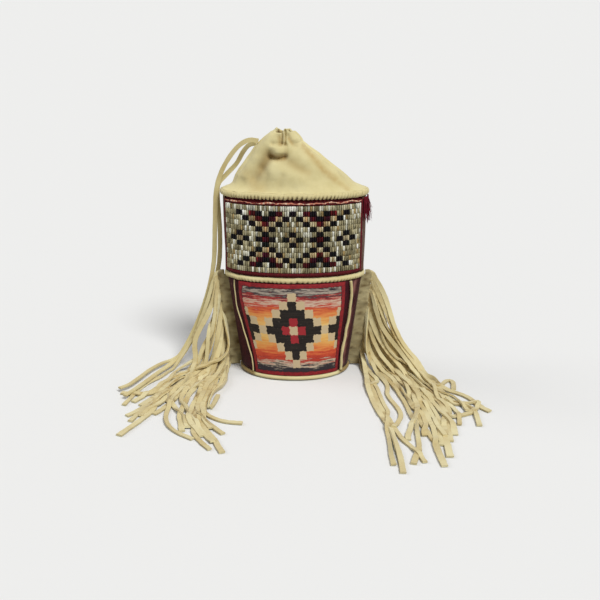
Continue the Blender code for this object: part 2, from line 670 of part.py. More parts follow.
def fringe(name, side, headings, reaches):
    """The suede strip in a side seam, with its fringe cut from it in one piece."""
    strip_top = WAIST_HEIGHT + HEADER_RISE
    shoulder = SKIRT_TOP
    welt_reach = POUCH_OFFSET + GAP + 2 * WAIST_WELT_RADIUS + GAP
    base_reach = BASE_HALF_WIDTH + BASE_WELT_INSET + BASE_WELT_RADIUS + GAP
    inner = [(base_reach, HEADER_BOTTOM), (base_reach, SKIRT_BOTTOM),
             (wall(SKIRT_BOTTOM)[0] + GAP, SKIRT_BOTTOM), (wall(shoulder)[0] + GAP, shoulder),
             (WAIST_HALF_WIDTH + welt_reach, shoulder), (WAIST_HALF_WIDTH + welt_reach, strip_top)]
    outer_low = wall(HEADER_BOTTOM)[0] + HEADER_FOOT_WIDTH
    outer_high = WAIST_HALF_WIDTH + HEADER_WIDTH + GAP
    pitch = (strip_top - HEADER_BOTTOM - THONG_WIDTH) / THONGS

    def outer_x(height):
        return mix(outer_low, outer_high, (height - HEADER_BOTTOM) / (strip_top - HEADER_BOTTOM))

    outer = [(outer_high, strip_top)]
    centres = []
    for number in reversed(range(THONGS)):
        centre = HEADER_BOTTOM + THONG_WIDTH + pitch * (number + 0.1)
        centres.append((number, centre))
        outer.append((outer_x(centre + THONG_WIDTH / 2), centre + THONG_WIDTH / 2))
        outer.append((outer_x(centre - THONG_WIDTH / 2), centre - THONG_WIDTH / 2))
    outer.append((outer_low, HEADER_BOTTOM))
    outline = inner + outer
    half = HEADER_THICKNESS / 2
    bm = bmesh.new()
    near = [bm.verts.new((side * x, -half, z)) for x, z in outline]
    far = [bm.verts.new((side * x, half, z)) for x, z in outline]
    bm.faces.new(near)
    bm.faces.new(far)
    first = len(inner) + 1
    slots = {first + 2 * number for number in range(THONGS)}
    for place in range(len(outline)):
        if place not in slots:
            after = (place + 1) % len(outline)
            bm.faces.new((near[place], near[after], far[after], far[place]))
    places = spread_order(THONGS)
    for slot, (number, centre) in zip(sorted(slots), centres):
        share = places[number]
        heading = math.radians(mix(headings[0], headings[1], share))
        reach = mix(reaches[0], reaches[1], share) * (1 + 0.10 * math.sin(7.3 * number))
        bend = 0.05 * math.sin(2.9 * number + 1.0)
        start = Vector((side * outer_x(centre), 0.0, centre))
        rings = thong_rings(start, side, heading, reach, strip_top, bend)
        last = [near[slot], far[slot], far[slot + 1], near[slot + 1]]
        if side < 0:
            order = (1, 0, 3, 2)
        else:
            order = (0, 1, 2, 3)
        for ring in rings[1:]:
            made = [bm.verts.new(ring[corner]) for corner in order]
            bridge(bm, last, made)
            last = made
        bm.faces.new(last)
    return finish(name, bm, ["suede", "buckskin"])


# The drawstring

def smooth_route(route, spacing):
    """Points about one spacing apart on a smooth curve through the route's points."""
    points = [Vector(point) for point in route]
    padded = [2 * points[0] - points[1]] + points + [2 * points[-1] - points[-2]]
    dense = []
    for before, start, end, after in zip(padded, padded[1:], padded[2:], padded[3:]):
        for step in range(16):
            share = step / 16
            dense.append(0.5 * ((2 * start) + (end - before) * share
                                + (2 * before - 5 * start + 4 * end - after) * share ** 2
                                + (3 * start - before - 3 * end + after) * share ** 3))
    dense.append(points[-1])
    total = sum((end - start).length for start, end in zip(dense, dense[1:]))
    count = max(round(total / spacing), 2)
    placed, run, wanted = [dense[0]], 0.0, total / count
    for start, end in zip(dense, dense[1:]):
        run += (end - start).length
        if run >= wanted * len(placed) and len(placed) < count:
            placed.append(end)
    placed.append(dense[-1])
    return placed


def lace(name, leaving, route):
    """A loose end of the drawstring. It leaves the hood and follows its route, fitted to the upper welt."""
    angle, rise = math.radians(leaving[0]), leaving[1]
    height = mix(HOOD_FOOT, RIM_HEIGHT + LIP_RISE, rise)
    away = Vector((math.sin(angle), -math.cos(angle), 0.0))
    first = cone_point(angle, height) + away * LACE_STANDOFF
    wide, tall = RIM_HALF_WIDTH / ROUTE_WELT[0], RIM_HEIGHT / ROUTE_WELT[1]
    fitted = [first] + [Vector((x * wide, y, z * tall)) for x, y, z in route]
    curve = bpy.data.curves.new(name, "CURVE")
    curve.dimensions = "3D"
    points = smooth_route(fitted, 3 * LACE_DIAMETER)
    spline = curve.splines.new("POLY")
    spline.points.add(len(points) - 1)
    for target, point in zip(spline.points, points):
        target.co = (*point, 1.0)
    curve.bevel_depth = LACE_DIAMETER / 2
    curve.bevel_resolution = 2
    curve.use_fill_caps = True
    curve.materials.append(material("buckskin"))
    made = bpy.data.objects.new(name, curve)
    bpy.context.scene.collection.objects.link(made)
    return made


def main():
    for old in list(bpy.data.objects):
        bpy.data.objects.remove(old)
    base_panel()
    base_welt()
    pouch_body()
    ring_of_cloth("skirt_cloth", SKIRT_BOTTOM, SKIRT_TOP)
    ring_of_cloth("band_cloth", BAND_BOTTOM, BAND_TOP)
    welt("waist_welt", WAIST_HEIGHT, WAIST_WELT_RADIUS, ROUND_STEPS, 5, 0.0)
    welt("rim_welt", RIM_HEIGHT, RIM_WELT_RADIUS, 2 * RIM_STITCHES, 5, STITCH_DEPTH)
    bead_panel("bead_panel_front", 0.0, PANEL_SHIFT, BEAD_COLUMNS, False)
    bead_panel("bead_panel_back", math.pi, 0.0, BACK_COLUMNS, True)
    panel_binding("panel_binding_front", 0.0, PANEL_SHIFT)
    panel_binding("panel_binding_back", math.pi, 0.0)
    band_ribbon("band_ribbon_left", -1)
    band_ribbon("band_ribbon_right", 1)
    cloth_fray()
    picture_panel()
    picture_piping("picture_piping_left", PICTURE_TOP_LEFT, PICTURE_BOTTOM_LEFT, -1, PIPING_LEFT_RADIUS)
    picture_piping("picture_piping_right", PICTURE_TOP_RIGHT, PICTURE_BOTTOM_RIGHT, 1, PIPING_RIGHT_RADIUS)
    fringe("fringe_left", -1, *FRINGE_LEFT)
    fringe("fringe_right", 1, *FRINGE_RIGHT)
    lace("drawstring_outer", LACE_EXITS[0], OUTER_ROUTE)
    lace("drawstring_inner", LACE_EXITS[1], INNER_ROUTE)


main()
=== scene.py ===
# Beaded medicine bag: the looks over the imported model. Metres, +Z up, the front faces -Y.

import math

import bpy
import numpy as np
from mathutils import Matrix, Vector, noise


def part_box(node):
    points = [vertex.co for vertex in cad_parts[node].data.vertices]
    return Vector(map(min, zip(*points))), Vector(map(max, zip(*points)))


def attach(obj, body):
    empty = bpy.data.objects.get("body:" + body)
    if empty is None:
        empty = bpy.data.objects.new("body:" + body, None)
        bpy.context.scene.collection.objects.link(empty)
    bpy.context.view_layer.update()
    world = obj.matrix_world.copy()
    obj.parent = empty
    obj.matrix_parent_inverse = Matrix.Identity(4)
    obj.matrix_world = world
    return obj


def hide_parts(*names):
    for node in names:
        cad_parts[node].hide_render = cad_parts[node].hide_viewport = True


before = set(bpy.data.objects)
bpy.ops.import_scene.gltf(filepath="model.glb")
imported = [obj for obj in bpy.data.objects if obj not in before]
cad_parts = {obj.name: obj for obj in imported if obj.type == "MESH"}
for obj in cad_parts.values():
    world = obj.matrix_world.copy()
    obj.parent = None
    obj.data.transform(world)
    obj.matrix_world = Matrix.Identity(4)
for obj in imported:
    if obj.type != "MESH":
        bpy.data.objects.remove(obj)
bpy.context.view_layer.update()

mm = 0.001
gap = 0.0003


# The bag's wall, from the frame

ovalPower = 2.1
clothThickness = 0.0022
baseInset = 0.0017            # from the stiff base's edge out to the cloth
pouchFoot = 0.0033            # the pouch stands on the stiff base
weltTall, weltReach = 0.951, 1.809     # a packed welt's half height, and its width outwards, in radii
waistLow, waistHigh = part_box("waist_welt")
rimLow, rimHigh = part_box("rim_welt")
skirtLow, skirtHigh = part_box("skirt_cloth")
bandLow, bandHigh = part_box("band_cloth")
waistHeight = (waistLow[2] + waistHigh[2]) / 2
rimHeight = (rimLow[2] + rimHigh[2]) / 2
waistRadius = (waistHigh[2] - waistLow[2]) / 2 / weltTall
rimRadius = (rimHigh[2] - rimLow[2]) / 2 / weltTall
baseHalf = np.array(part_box("base_panel")[1][:2]) + baseInset
waistHalf = np.array(waistHigh[:2]) + clothThickness - weltReach * waistRadius
rimShare = (rimHeight - waistHeight) / (bandHigh[2] - waistHeight)
rimHalf = np.array((waistHalf[0] + (bandHigh[0] - waistHalf[0]) * rimShare,
                    rimHigh[1] + clothThickness - weltReach * rimRadius))
turnSteps = np.linspace(0, math.pi, 721)


def ovalXY(halfWidth, halfDepth, angle):
    side, front = np.sin(angle), np.cos(angle)
    power = 2 / ovalPower
    return (halfWidth * np.sign(side) * np.abs(side) ** power,
            -halfDepth * np.sign(front) * np.abs(front) ** power)


def wallHalf(height):
    stops = (0, waistHeight, rimHeight)
    return (np.interp(height, stops, (baseHalf[0], waistHalf[0], rimHalf[0])),
            np.interp(height, stops, (baseHalf[1], waistHalf[1], rimHalf[1])))


def wallPoint(angle, height, offset):
    halfWidth, halfDepth = wallHalf(height)
    x, y = ovalXY(halfWidth + offset, halfDepth + offset, angle)
    return np.stack(np.broadcast_arrays(x, y, height), axis=-1)


def angleAt(arc, height):
    x, y = ovalXY(*wallHalf(height), turnSteps)
    run = np.concatenate(([0], np.cumsum(np.hypot(np.diff(x), np.diff(y)))))
    return np.sign(arc) * np.interp(np.abs(arc), run, turnSteps)


def mix(start, end, share):
    return start + (end - start) * share


def blunt(value, power):
    return math.copysign(abs(value) ** power, value)


def ease(share):
    share = np.clip(share, 0, 1)
    return share * share * (3 - 2 * share)


def noiseAt(points, scale, seed=0.0):
    shift = Vector((seed, 1.7 * seed, -0.6 * seed))
    return np.array([noise.noise(Vector(point) * scale + shift) for point in points])


def circle(angles):
    return np.stack((np.cos(angles), np.sin(angles), 0 * angles), axis=1)


# Making meshes

def outward(points, faces):
    total = 0.0
    for count in {len(face) for face in faces}:
        block = np.array([face for face in faces if len(face) == count])
        corner = points[block]
        for step in range(1, count - 1):
            cross = np.cross(corner[:, step], corner[:, step + 1])
            total += float(np.sum(corner[:, 0] * cross))
    return faces if total >= 0 else [tuple(reversed(face)) for face in faces]


def addObject(name, data):
    made = bpy.data.objects.new(name, data)
    bpy.context.scene.collection.objects.link(made)
    return made


valueField = {"FLOAT": "value", "FLOAT_COLOR": "color", "FLOAT_VECTOR": "vector"}


def writeValues(mesh, kind, values):
    for key, numbers in (values or {}).items():
        data = mesh.attributes.new(key, kind, "POINT").data
        data.foreach_set(valueField[kind], np.ravel(numbers).astype(np.float32))


def closedMesh(name, points, faces):
    points = np.asarray(points, dtype=float).reshape(-1, 3)
    faces = outward(points, [tuple(int(spot) for spot in face) for face in faces])
    mesh = bpy.data.meshes.new(name)
    mesh.from_pydata(points.tolist(), [], faces)
    return mesh


def addMesh(name, points, faces, material, floats=None, uv=None, sharp=None):
    mesh = closedMesh(name, points, faces)
    writeValues(mesh, "FLOAT", floats)
    if uv is not None:
        corners = np.zeros(len(mesh.loops), dtype=np.int32)
        mesh.loops.foreach_get("vertex_index", corners)
        layer = mesh.uv_layers.new(name="surface")
        layer.data.foreach_set("uv", np.ravel(uv[corners]).astype(np.float32))
    mesh.shade_smooth()
    if sharp is not None:
        mesh.set_sharp_from_angle(angle=math.radians(sharp))
    mesh.materials.append(material)
    return addObject(name, mesh)


def ringFaces(rings, sides, loop=False, first=0):
    faces = []
    for ring in range(rings if loop else rings - 1):
        after = (ring + 1) % rings
        for side in range(sides):
            turn = (side + 1) % sides
            faces.append((first + ring * sides + side, first + ring * sides + turn,
                          first + after * sides + turn, first + after * sides + side))
    if not loop:
        faces.append(tuple(first + side for side in reversed(range(sides))))
        faces.append(tuple(first + (rings - 1) * sides + side for side in range(sides)))
    return faces


def finishPiece(piece, slot, *nodes):
    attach(piece, "root")
    if nodes:
        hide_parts(*nodes)
    return piece


# Camera, lights and floor

studio = {
    "cameraPlace": (0.0047, -0.900, 0.380),
    "cameraTilt": 70.6,
    "lens": 63.24,
    "floorColour": (0.83, 0.83, 0.82),
    "floorBounce": (0.42, 0.42, 0.40),     # the floor as the object is lit by it
    "floorLevel": -0.0002,                 # just under the bag, so that the two don't flicker
    "floorSide": 9.0,
    "floorFront": 3.0,
    "floorBack": 18.0,
    "backdropColour": (0.86, 0.86, 0.86),
    "worldStrength": 0.36,
    # Direction it comes from, spread in degrees and strength of each light
    "lamps": (
        ("key", (0.42, -0.62, 0.95), 20, 2.3),
        ("leftRim", (-0.95, 0.25, 0.65), 30, 0.55),
    ),
}


def seenShare(tree):
    path = put(tree, "ShaderNodeLightPath").outputs
    seen = calc(tree, "MAXIMUM", path["Is Camera Ray"], path["Is Glossy Ray"])
    return calc(tree, "MAXIMUM", seen, path["Is Transmission Ray"])


def makeWorld():
    world = bpy.data.worlds.new("world")
    bpy.context.scene.world = world
    world.use_nodes = True
    tree = world.node_tree
    back = tree.nodes["Background"]
    back.inputs["Color"].default_value = (1, 1, 1, 1)
    back.inputs["Strength"].default_value = studio["worldStrength"]
    front = put(tree, "ShaderNodeBackground", {"Color": (*studio["backdropColour"], 1), "Strength": 1.0})
    shaders = {0: seenShare(tree), 1: back.outputs[0], 2: front.outputs[0]}
    blend = put(tree, "ShaderNodeMixShader", shaders)
    tree.links.new(blend.outputs[0], tree.nodes["World Output"].inputs["Surface"])


def makeFloor():
    side, front, back = studio["floorSide"], -studio["floorFront"], studio["floorBack"]
    corners = ((-side, front), (side, front), (side, back), (-side, back))
    mesh = bpy.data.meshes.new("floor")
    mesh.from_pydata([(x, y, studio["floorLevel"]) for x, y in corners], [], [(0, 1, 2, 3)])
    material, tree, shader = newMaterial("paleFloor")
    colour = blendColour(tree, seenShare(tree), studio["floorBounce"], studio["floorColour"])
    tree.links.new(colour, shader.inputs["Base Color"])
    shader.inputs["Roughness"].default_value = 0.9
    shader.inputs["Specular IOR Level"].default_value = 0.0
    mesh.materials.append(material)
    addObject("floor", mesh)


def makeStudio():
    scene = bpy.context.scene
    camera = addObject("camera", bpy.data.cameras.new("camera"))
    camera.data.lens = studio["lens"]
    camera.location = studio["cameraPlace"]
    camera.rotation_euler = (math.radians(studio["cameraTilt"]), 0, 0)
    scene.camera = camera
    scene.view_settings.view_transform = "Standard"
    for name, way, spread, strength in studio["lamps"]:
        lamp = addObject(name, bpy.data.lights.new(name, "SUN"))
        lamp.data.angle = math.radians(spread)
        lamp.data.energy = strength
        lamp.location = way
        lamp.rotation_euler = (-Vector(way)).to_track_quat("-Z", "Y").to_euler()
    makeWorld()
    makeFloor()


# Materials

def put(tree, kind, inputs=None, **settings):
    made = tree.nodes.new(kind)
    for key, value in settings.items():
        setattr(made, key, value)
    for key, value in (inputs or {}).items():
        if isinstance(value, bpy.types.NodeSocket):
            tree.links.new(value, made.inputs[key])
        else:
            made.inputs[key].default_value = value
    return made


def newMaterial(name):
    material = bpy.data.materials.new(name)
    material.use_nodes = True
    return material, material.node_tree, material.node_tree.nodes["Principled BSDF"]


def calc(tree, action, first, second=0.5, clamp=False):
    return put(tree, "ShaderNodeMath", {0: first, 1: second}, operation=action, use_clamp=clamp).outputs[0]


def scaled(tree, way, size):
    return put(tree, "ShaderNodeVectorMath", {0: way, "Scale": size}, operation="SCALE").outputs[0]


def added(tree, first, second):
    return put(tree, "ShaderNodeVectorMath", {0: first, 1: second}, operation="ADD").outputs[0]


def objectSpace(tree, stretch=(1, 1, 1)):
    place = put(tree, "ShaderNodeTexCoord").outputs["Object"]
    return put(tree, "ShaderNodeMapping", {"Vector": place, "Scale": stretch}).outputs[0]


def grain(tree, vector, scale, detail=3.0, rough=0.55):
    return put(tree, "ShaderNodeTexNoise", {"Vector": vector, "Scale": scale, "Detail": detail,
                                            "Roughness": rough}).outputs["Fac"]


def between(tree, value, low, high, start=0.0, end=1.0):
    return put(tree, "ShaderNodeMapRange", {"Value": value, "From Min": low, "From Max": high,
                                            "To Min": start, "To Max": end}).outputs[0]


def blendColour(tree, share, first, second, way="MIX"):
    made = tree.nodes.new("ShaderNodeMix")
    made.data_type = "RGBA"
    made.blend_type = way
    for place, value in ((0, share), (6, first), (7, second)):
        if isinstance(value, bpy.types.NodeSocket):
            tree.links.new(value, made.inputs[place])
        else:
            made.inputs[place].default_value = (*value, 1) if place else value
    return made.outputs[2]


def attribute(tree, name, output="Fac"):
    return put(tree, "ShaderNodeAttribute", attribute_name=name).outputs[output]


def setBump(tree, shader, layers):
    normal = None
    for height, strength, distance in layers:
        bump = put(tree, "ShaderNodeBump", {"Height": height, "Strength": strength, "Distance": distance})
        if normal is not None:
            tree.links.new(normal, bump.inputs["Normal"])
        normal = bump.outputs[0]
    tree.links.new(normal, shader.inputs["Normal"])


def hideMaterial(name, pale, deep, markAndShade, roughness, nap, fuzz=0.25):
    material, tree, shader = newMaterial(name)
    place = objectSpace(tree)
    patches = between(tree, grain(tree, place, 42, 3.0), 0.32, 0.70)
    mottle = between(tree, grain(tree, place, 230, 4.0, 0.65), 0.30, 0.72)
    fibre = grain(tree, place, 1500, 3.0, 0.7)
    colour = blendColour(tree, patches, deep, pale)
    colour = blendColour(tree, calc(tree, "MULTIPLY", mottle, 0.35), colour, pale)
    colour = blendColour(tree, between(tree, fibre, 0.35, 0.75, 0.0, 0.30), colour, deep)
    # The marks' colour serves real stains and wear, and painted shade on the hood and the thongs; the crease
    # attribute darkens it further, mostly as painted shade in creases, notches and under things
    patchy = between(tree, mottle, 0, 1, 0.55, 1.15)
    markAndShadeShare = calc(tree, "MULTIPLY", attribute(tree, "markAndShade"), patchy, True)
    colour = blendColour(tree, markAndShadeShare, colour, markAndShade)
    shadow = calc(tree, "MULTIPLY", attribute(tree, "crease"), 0.85, True)
    dark = tuple(channel * share for channel, share in zip(deep, (0.36, 0.24, 0.10)))
    colour = blendColour(tree, shadow, colour, dark)
    tree.links.new(colour, shader.inputs["Base Color"])
    shader.inputs["Roughness"].default_value = roughness
    shader.inputs["Specular IOR Level"].default_value = 0.25
    shader.inputs["Sheen Weight"].default_value = fuzz
    shader.inputs["Sheen Roughness"].default_value = 0.5
    setBump(tree, shader, (
        (grain(tree, place, 620, 4.0, 0.6), 0.35, 0.0004),
        (fibre, nap, 0.00018),
    ))
    return material


def clothMaterial(name, deep, bright, glint, glintLevel):
    material, tree, shader = newMaterial(name)
    long = objectSpace(tree, (1.0, 1.0, 0.12))
    threads = grain(tree, long, 1500, 3.0, 0.6)
    weave = {"Vector": objectSpace(tree), "Scale": 520, "Distortion": 3.0, "Detail": 2.0}
    ribs = put(tree, "ShaderNodeTexWave", weave, bands_direction="Z").outputs["Fac"]
    colour = blendColour(tree, between(tree, threads, 0.35, 0.70), deep, bright)
    colour = blendColour(tree, calc(tree, "MULTIPLY", ribs, 0.35), colour, deep)
    flecks = between(tree, grain(tree, long, 700, 4.0, 0.7), glintLevel, glintLevel + 0.06)
    colour = blendColour(tree, flecks, colour, glint)
    worn = calc(tree, "MULTIPLY", attribute(tree, "markAndShade"), 1.0, True)
    colour = blendColour(tree, worn, colour, glint)
    tree.links.new(colour, shader.inputs["Base Color"])
    shader.inputs["Roughness"].default_value = 0.62
    shader.inputs["Specular IOR Level"].default_value = 0.14
    shader.inputs["Sheen Weight"].default_value = 0.03
    shader.inputs["Sheen Roughness"].default_value = 0.4
    setBump(tree, shader, ((threads, 0.5, 0.0003), (ribs, 0.35, 0.0002)))
    return material


def beadMaterial():
    material, tree, shader = newMaterial("bugleBeadGlass")
    tint = attribute(tree, "tint", "Color")
    # Painted highlight and painted shade: long streaks brighten part of each bead and darken the rest, for
    # the gleam of silver-lined glass
    streak = grain(tree, objectSpace(tree, (1.0, 1.0, 0.08)), 2600, 3.0, 0.6)
    bright = between(tree, streak, 0.50, 0.66, 0.0, 0.95)
    colour = blendColour(tree, bright, tint, tint, "SCREEN")
    dim = between(tree, streak, 0.36, 0.51, 0.80, 0.0)
    colour = blendColour(tree, dim, colour, (0.06, 0.05, 0.02), "MULTIPLY")
    tree.links.new(colour, shader.inputs["Base Color"])
    shader.inputs["Metallic"].default_value = 0.12
    shader.inputs["Roughness"].default_value = 0.26
    shader.inputs["Specular IOR Level"].default_value = 0.15
    return material


painting = {
    "width": 0.094,
    "height": 0.086,
    "border": 0.0036,
    "columns": 13.0,
    "rows": 11.0,
    "diamondsApart": 6.0,      # cells from the middle of the panel to the smaller diamonds at its sides
    "cream": (0.58, 0.45, 0.27),
    "crimson": (0.34, 0.024, 0.030),
    # Bands of colour up the panel: where each starts, and its colour
    "bands": (
        (0.00, (0.022, 0.018, 0.022)), (0.10, (0.030, 0.024, 0.028)), (0.13, (0.62, 0.50, 0.36)),
        (0.17, (0.36, 0.030, 0.022)), (0.24, (0.60, 0.085, 0.035)), (0.31, (0.74, 0.26, 0.07)),
        (0.40, (0.76, 0.44, 0.12)), (0.50, (0.80, 0.56, 0.22)), (0.60, (0.76, 0.40, 0.11)),
        (0.68, (0.70, 0.20, 0.06)), (0.75, (0.50, 0.05, 0.03)), (0.80, (0.66, 0.54, 0.40)),
        (0.84, (0.40, 0.030, 0.026)), (0.88, (0.030, 0.028, 0.034)), (0.93, (0.50, 0.42, 0.34)),
        (0.96, (0.025, 0.022, 0.028)),
    ),
}


def paintedBands(tree, up, streak):
    place = calc(tree, "ADD", up, between(tree, streak, 0.25, 0.75, -0.085, 0.085))
    ramp = put(tree, "ShaderNodeValToRGB", {"Fac": place})
    elements = ramp.color_ramp.elements
    stops = painting["bands"]
    elements[0].position, elements[0].color = stops[0][0], (*stops[0][1], 1)
    elements[1].position, elements[1].color = stops[-1][0], (*stops[-1][1], 1)
    for start, colour in stops[1:-1]:
        elements.new(start).color = (*colour, 1)
    return ramp.outputs[0]


def stepsFromMiddle(tree, place, count):
    cells = calc(tree, "MULTIPLY", calc(tree, "SUBTRACT", place, 0.5), count)
    return calc(tree, "ABSOLUTE", calc(tree, "ROUND", cells))


def paintedDiamonds(tree, colour, across, up, streak):
    sideways = stepsFromMiddle(tree, across, painting["columns"])
    upward = stepsFromMiddle(tree, up, painting["rows"])
    beside = calc(tree, "ABSOLUTE", calc(tree, "SUBTRACT", sideways, painting["diamondsApart"]))
    charcoal = blendColour(tree, between(tree, streak, 0.40, 0.70), (0.006, 0.004, 0.003),
                           (0.026, 0.019, 0.014))
    cream, crimson = painting["cream"], painting["crimson"]
    middle = calc(tree, "ADD", sideways, upward)
    corner = calc(tree, "ADD", beside, upward)
    # Each diamond's outer cells come first, and smaller ones lie over them
    for distance, reach, paint in ((middle, 4.5, cream), (middle, 3.5, charcoal), (middle, 1.5, crimson),
                                   (middle, 0.5, cream), (corner, 2.5, cream), (corner, 1.5, charcoal)):
        colour = blendColour(tree, calc(tree, "LESS_THAN", distance, reach), colour, paint)
    return colour


def paintedBorder(tree, colour, uv, waver):
    plain = put(tree, "ShaderNodeSeparateXYZ", {0: uv}).outputs
    nearest = None
    for place, size in ((plain[0], painting["width"]), (plain[1], painting["height"])):
        for near in (place, calc(tree, "SUBTRACT", 1.0, place)):
            edge = calc(tree, "MULTIPLY", near, size)
            nearest = edge if nearest is None else calc(tree, "MINIMUM", nearest, edge)
    nearest = calc(tree, "ADD", nearest, between(tree, waver, 0.3, 0.7, -0.0004, 0.0004))
    blotches = between(tree, grain(tree, objectSpace(tree), 320, 4.0, 0.7), 0.35, 0.70)
    red = blendColour(tree, blotches, (0.16, 0.010, 0.014), (0.36, 0.022, 0.026))
    colour = blendColour(tree, calc(tree, "LESS_THAN", nearest, painting["border"]), colour, red)
    outline = calc(tree, "MULTIPLY", calc(tree, "LESS_THAN", nearest, painting["border"] + 0.0005),
                   calc(tree, "GREATER_THAN", nearest, painting["border"] - 0.0001))
    return blendColour(tree, outline, colour, (0.05, 0.012, 0.014))


def paintMaterial():
    material, tree, shader = newMaterial("paintedPanel")
    uv = put(tree, "ShaderNodeTexCoord").outputs["UV"]
    coarse = {"Vector": uv, "Scale": 34.0, "Detail": 3.0}
    rough = put(tree, "ShaderNodeTexNoise", coarse, noise_dimensions="2D").outputs
    wobble = put(tree, "ShaderNodeVectorMath", {0: rough["Color"], 1: (0.5, 0.5, 0.5)}, operation="SUBTRACT")
    spot = added(tree, uv, scaled(tree, wobble.outputs[0], 0.030))
    across, up = put(tree, "ShaderNodeSeparateXYZ", {0: spot}).outputs[:2]
    streakPlace = put(tree, "ShaderNodeMapping", {"Vector": uv, "Scale": (5.0, 46.0, 1.0)}).outputs[0]
    streak = grain(tree, streakPlace, 1.0, 5.0, 0.65)
    colour = paintedBands(tree, up, streak)
    colour = paintedDiamonds(tree, colour, across, up, streak)
    colour = paintedBorder(tree, colour, uv, rough["Fac"])
    worn = between(tree, grain(tree, objectSpace(tree), 900, 4.0, 0.75), 0.66, 0.72, 0.0, 0.55)
    colour = blendColour(tree, worn, colour, (0.52, 0.42, 0.32))
    tree.links.new(colour, shader.inputs["Base Color"])
    shader.inputs["Roughness"].default_value = 0.58
    shader.inputs["Specular IOR Level"].default_value = 0.22
    weave = grain(tree, objectSpace(tree), 1900, 2.0)
    setBump(tree, shader, ((streak, 0.25, 0.0003), (weave, 0.30, 0.00015)))
    return material


# Repeated small pieces

def randomWay(tree, seed):
    return put(tree, "FunctionNodeRandomValue", {0: (-1, -1, -1), 1: (1, 1, 1), "Seed": seed},
               data_type="FLOAT_VECTOR").outputs[0]


def laterSeed(tree, seed, steps):
    return put(tree, "FunctionNodeIntegerMath", {0: seed, 1: steps}, operation="ADD").outputs[0]


def pointValue(tree, name):
    return put(tree, "GeometryNodeInputNamedAttribute", {"Name": name}, data_type="FLOAT_VECTOR").outputs[0]


def repeatTree():
    tree = bpy.data.node_groups.new("repeatPiece", "GeometryNodeTree")
    sockets = [("Geometry", "Geometry"), ("Piece", "Object"), ("Material", "Material")]
    sockets += [(name, "Float") for name in ("Size", "Shift", "Lean", "Grow")]
    for name, kind in sockets + [("Seed", "Int")]:
        tree.interface.new_socket(name, in_out="INPUT", socket_type="NodeSocket" + kind)
    tree.interface.new_socket("Geometry", in_out="OUTPUT", socket_type="NodeSocketGeometry")
    source = put(tree, "NodeGroupInput").outputs
    seed = source["Seed"]
    shift = scaled(tree, randomWay(tree, seed), source["Shift"])
    spots = {"Geometry": source["Geometry"], "Offset": shift}
    moved = put(tree, "GeometryNodeSetPosition", spots).outputs[0]
    lean = scaled(tree, randomWay(tree, laterSeed(tree, seed, 7)), source["Lean"])
    turned = added(tree, pointValue(tree, "turn"), lean)
    grown = put(tree, "FunctionNodeRandomValue", {2: -1.0, 3: 1.0, "Seed": laterSeed(tree, seed, 19)},
                data_type="FLOAT").outputs[1]
    grown = put(tree, "ShaderNodeMath", {0: grown, 1: source["Grow"], 2: 1.0},
                operation="MULTIPLY_ADD").outputs[0]
    grown = calc(tree, "MULTIPLY", grown, source["Size"])
    sized = scaled(tree, pointValue(tree, "size"), grown)
    thing = put(tree, "GeometryNodeObjectInfo", {"Object": source["Piece"]}).outputs["Geometry"]
    copies = {"Points": moved, "Instance": thing, "Rotation": turned, "Scale": sized}
    laid = put(tree, "GeometryNodeInstanceOnPoints", copies).outputs[0]
    real = put(tree, "GeometryNodeRealizeInstances", {0: laid}).outputs[0]
    finish = {"Geometry": real, "Material": source["Material"]}
    coated = put(tree, "GeometryNodeSetMaterial", finish).outputs[0]
    put(tree, "NodeGroupOutput", {"Geometry": coated})
    return tree


def repeat(name, points, turns, piece, material, shift, lean, grow, seed, floats=None, colours=None):
    carrier = bpy.data.meshes.new(name + "Points")
    carrier.from_pydata(np.asarray(points).tolist(), [], [])
    writeValues(carrier, "FLOAT_VECTOR", {"turn": turns, "size": np.ones((len(points), 3))})
    writeValues(carrier, "FLOAT", floats)
    writeValues(carrier, "FLOAT_COLOR", colours)
    holder = addObject(name + "Carrier", carrier)
    modifier = holder.modifiers.new("repeat", "NODES")
    modifier.node_group = repeatNodes
    values = {"Piece": piece, "Material": material, "Size": 1.0, "Shift": shift, "Lean": lean,
              "Grow": grow, "Seed": seed}
    for item in repeatNodes.interface.items_tree:
        if item.item_type == "SOCKET" and item.in_out == "INPUT" and item.name in values:
            modifier[item.identifier] = values[item.name]
    graph = bpy.context.evaluated_depsgraph_get()
    mesh = bpy.data.meshes.new_from_object(holder.evaluated_get(graph))
    mesh.name = name
    for spare in ("turn", "size"):
        if spare in mesh.attributes:
            mesh.attributes.remove(mesh.attributes[spare])
    mesh.shade_smooth()
    mesh.set_sharp_from_angle(angle=math.radians(50))
    made = addObject(name, mesh)
    bpy.data.objects.remove(holder)
    bpy.data.objects.remove(piece)
    return made


# The two loose ends of the drawstring

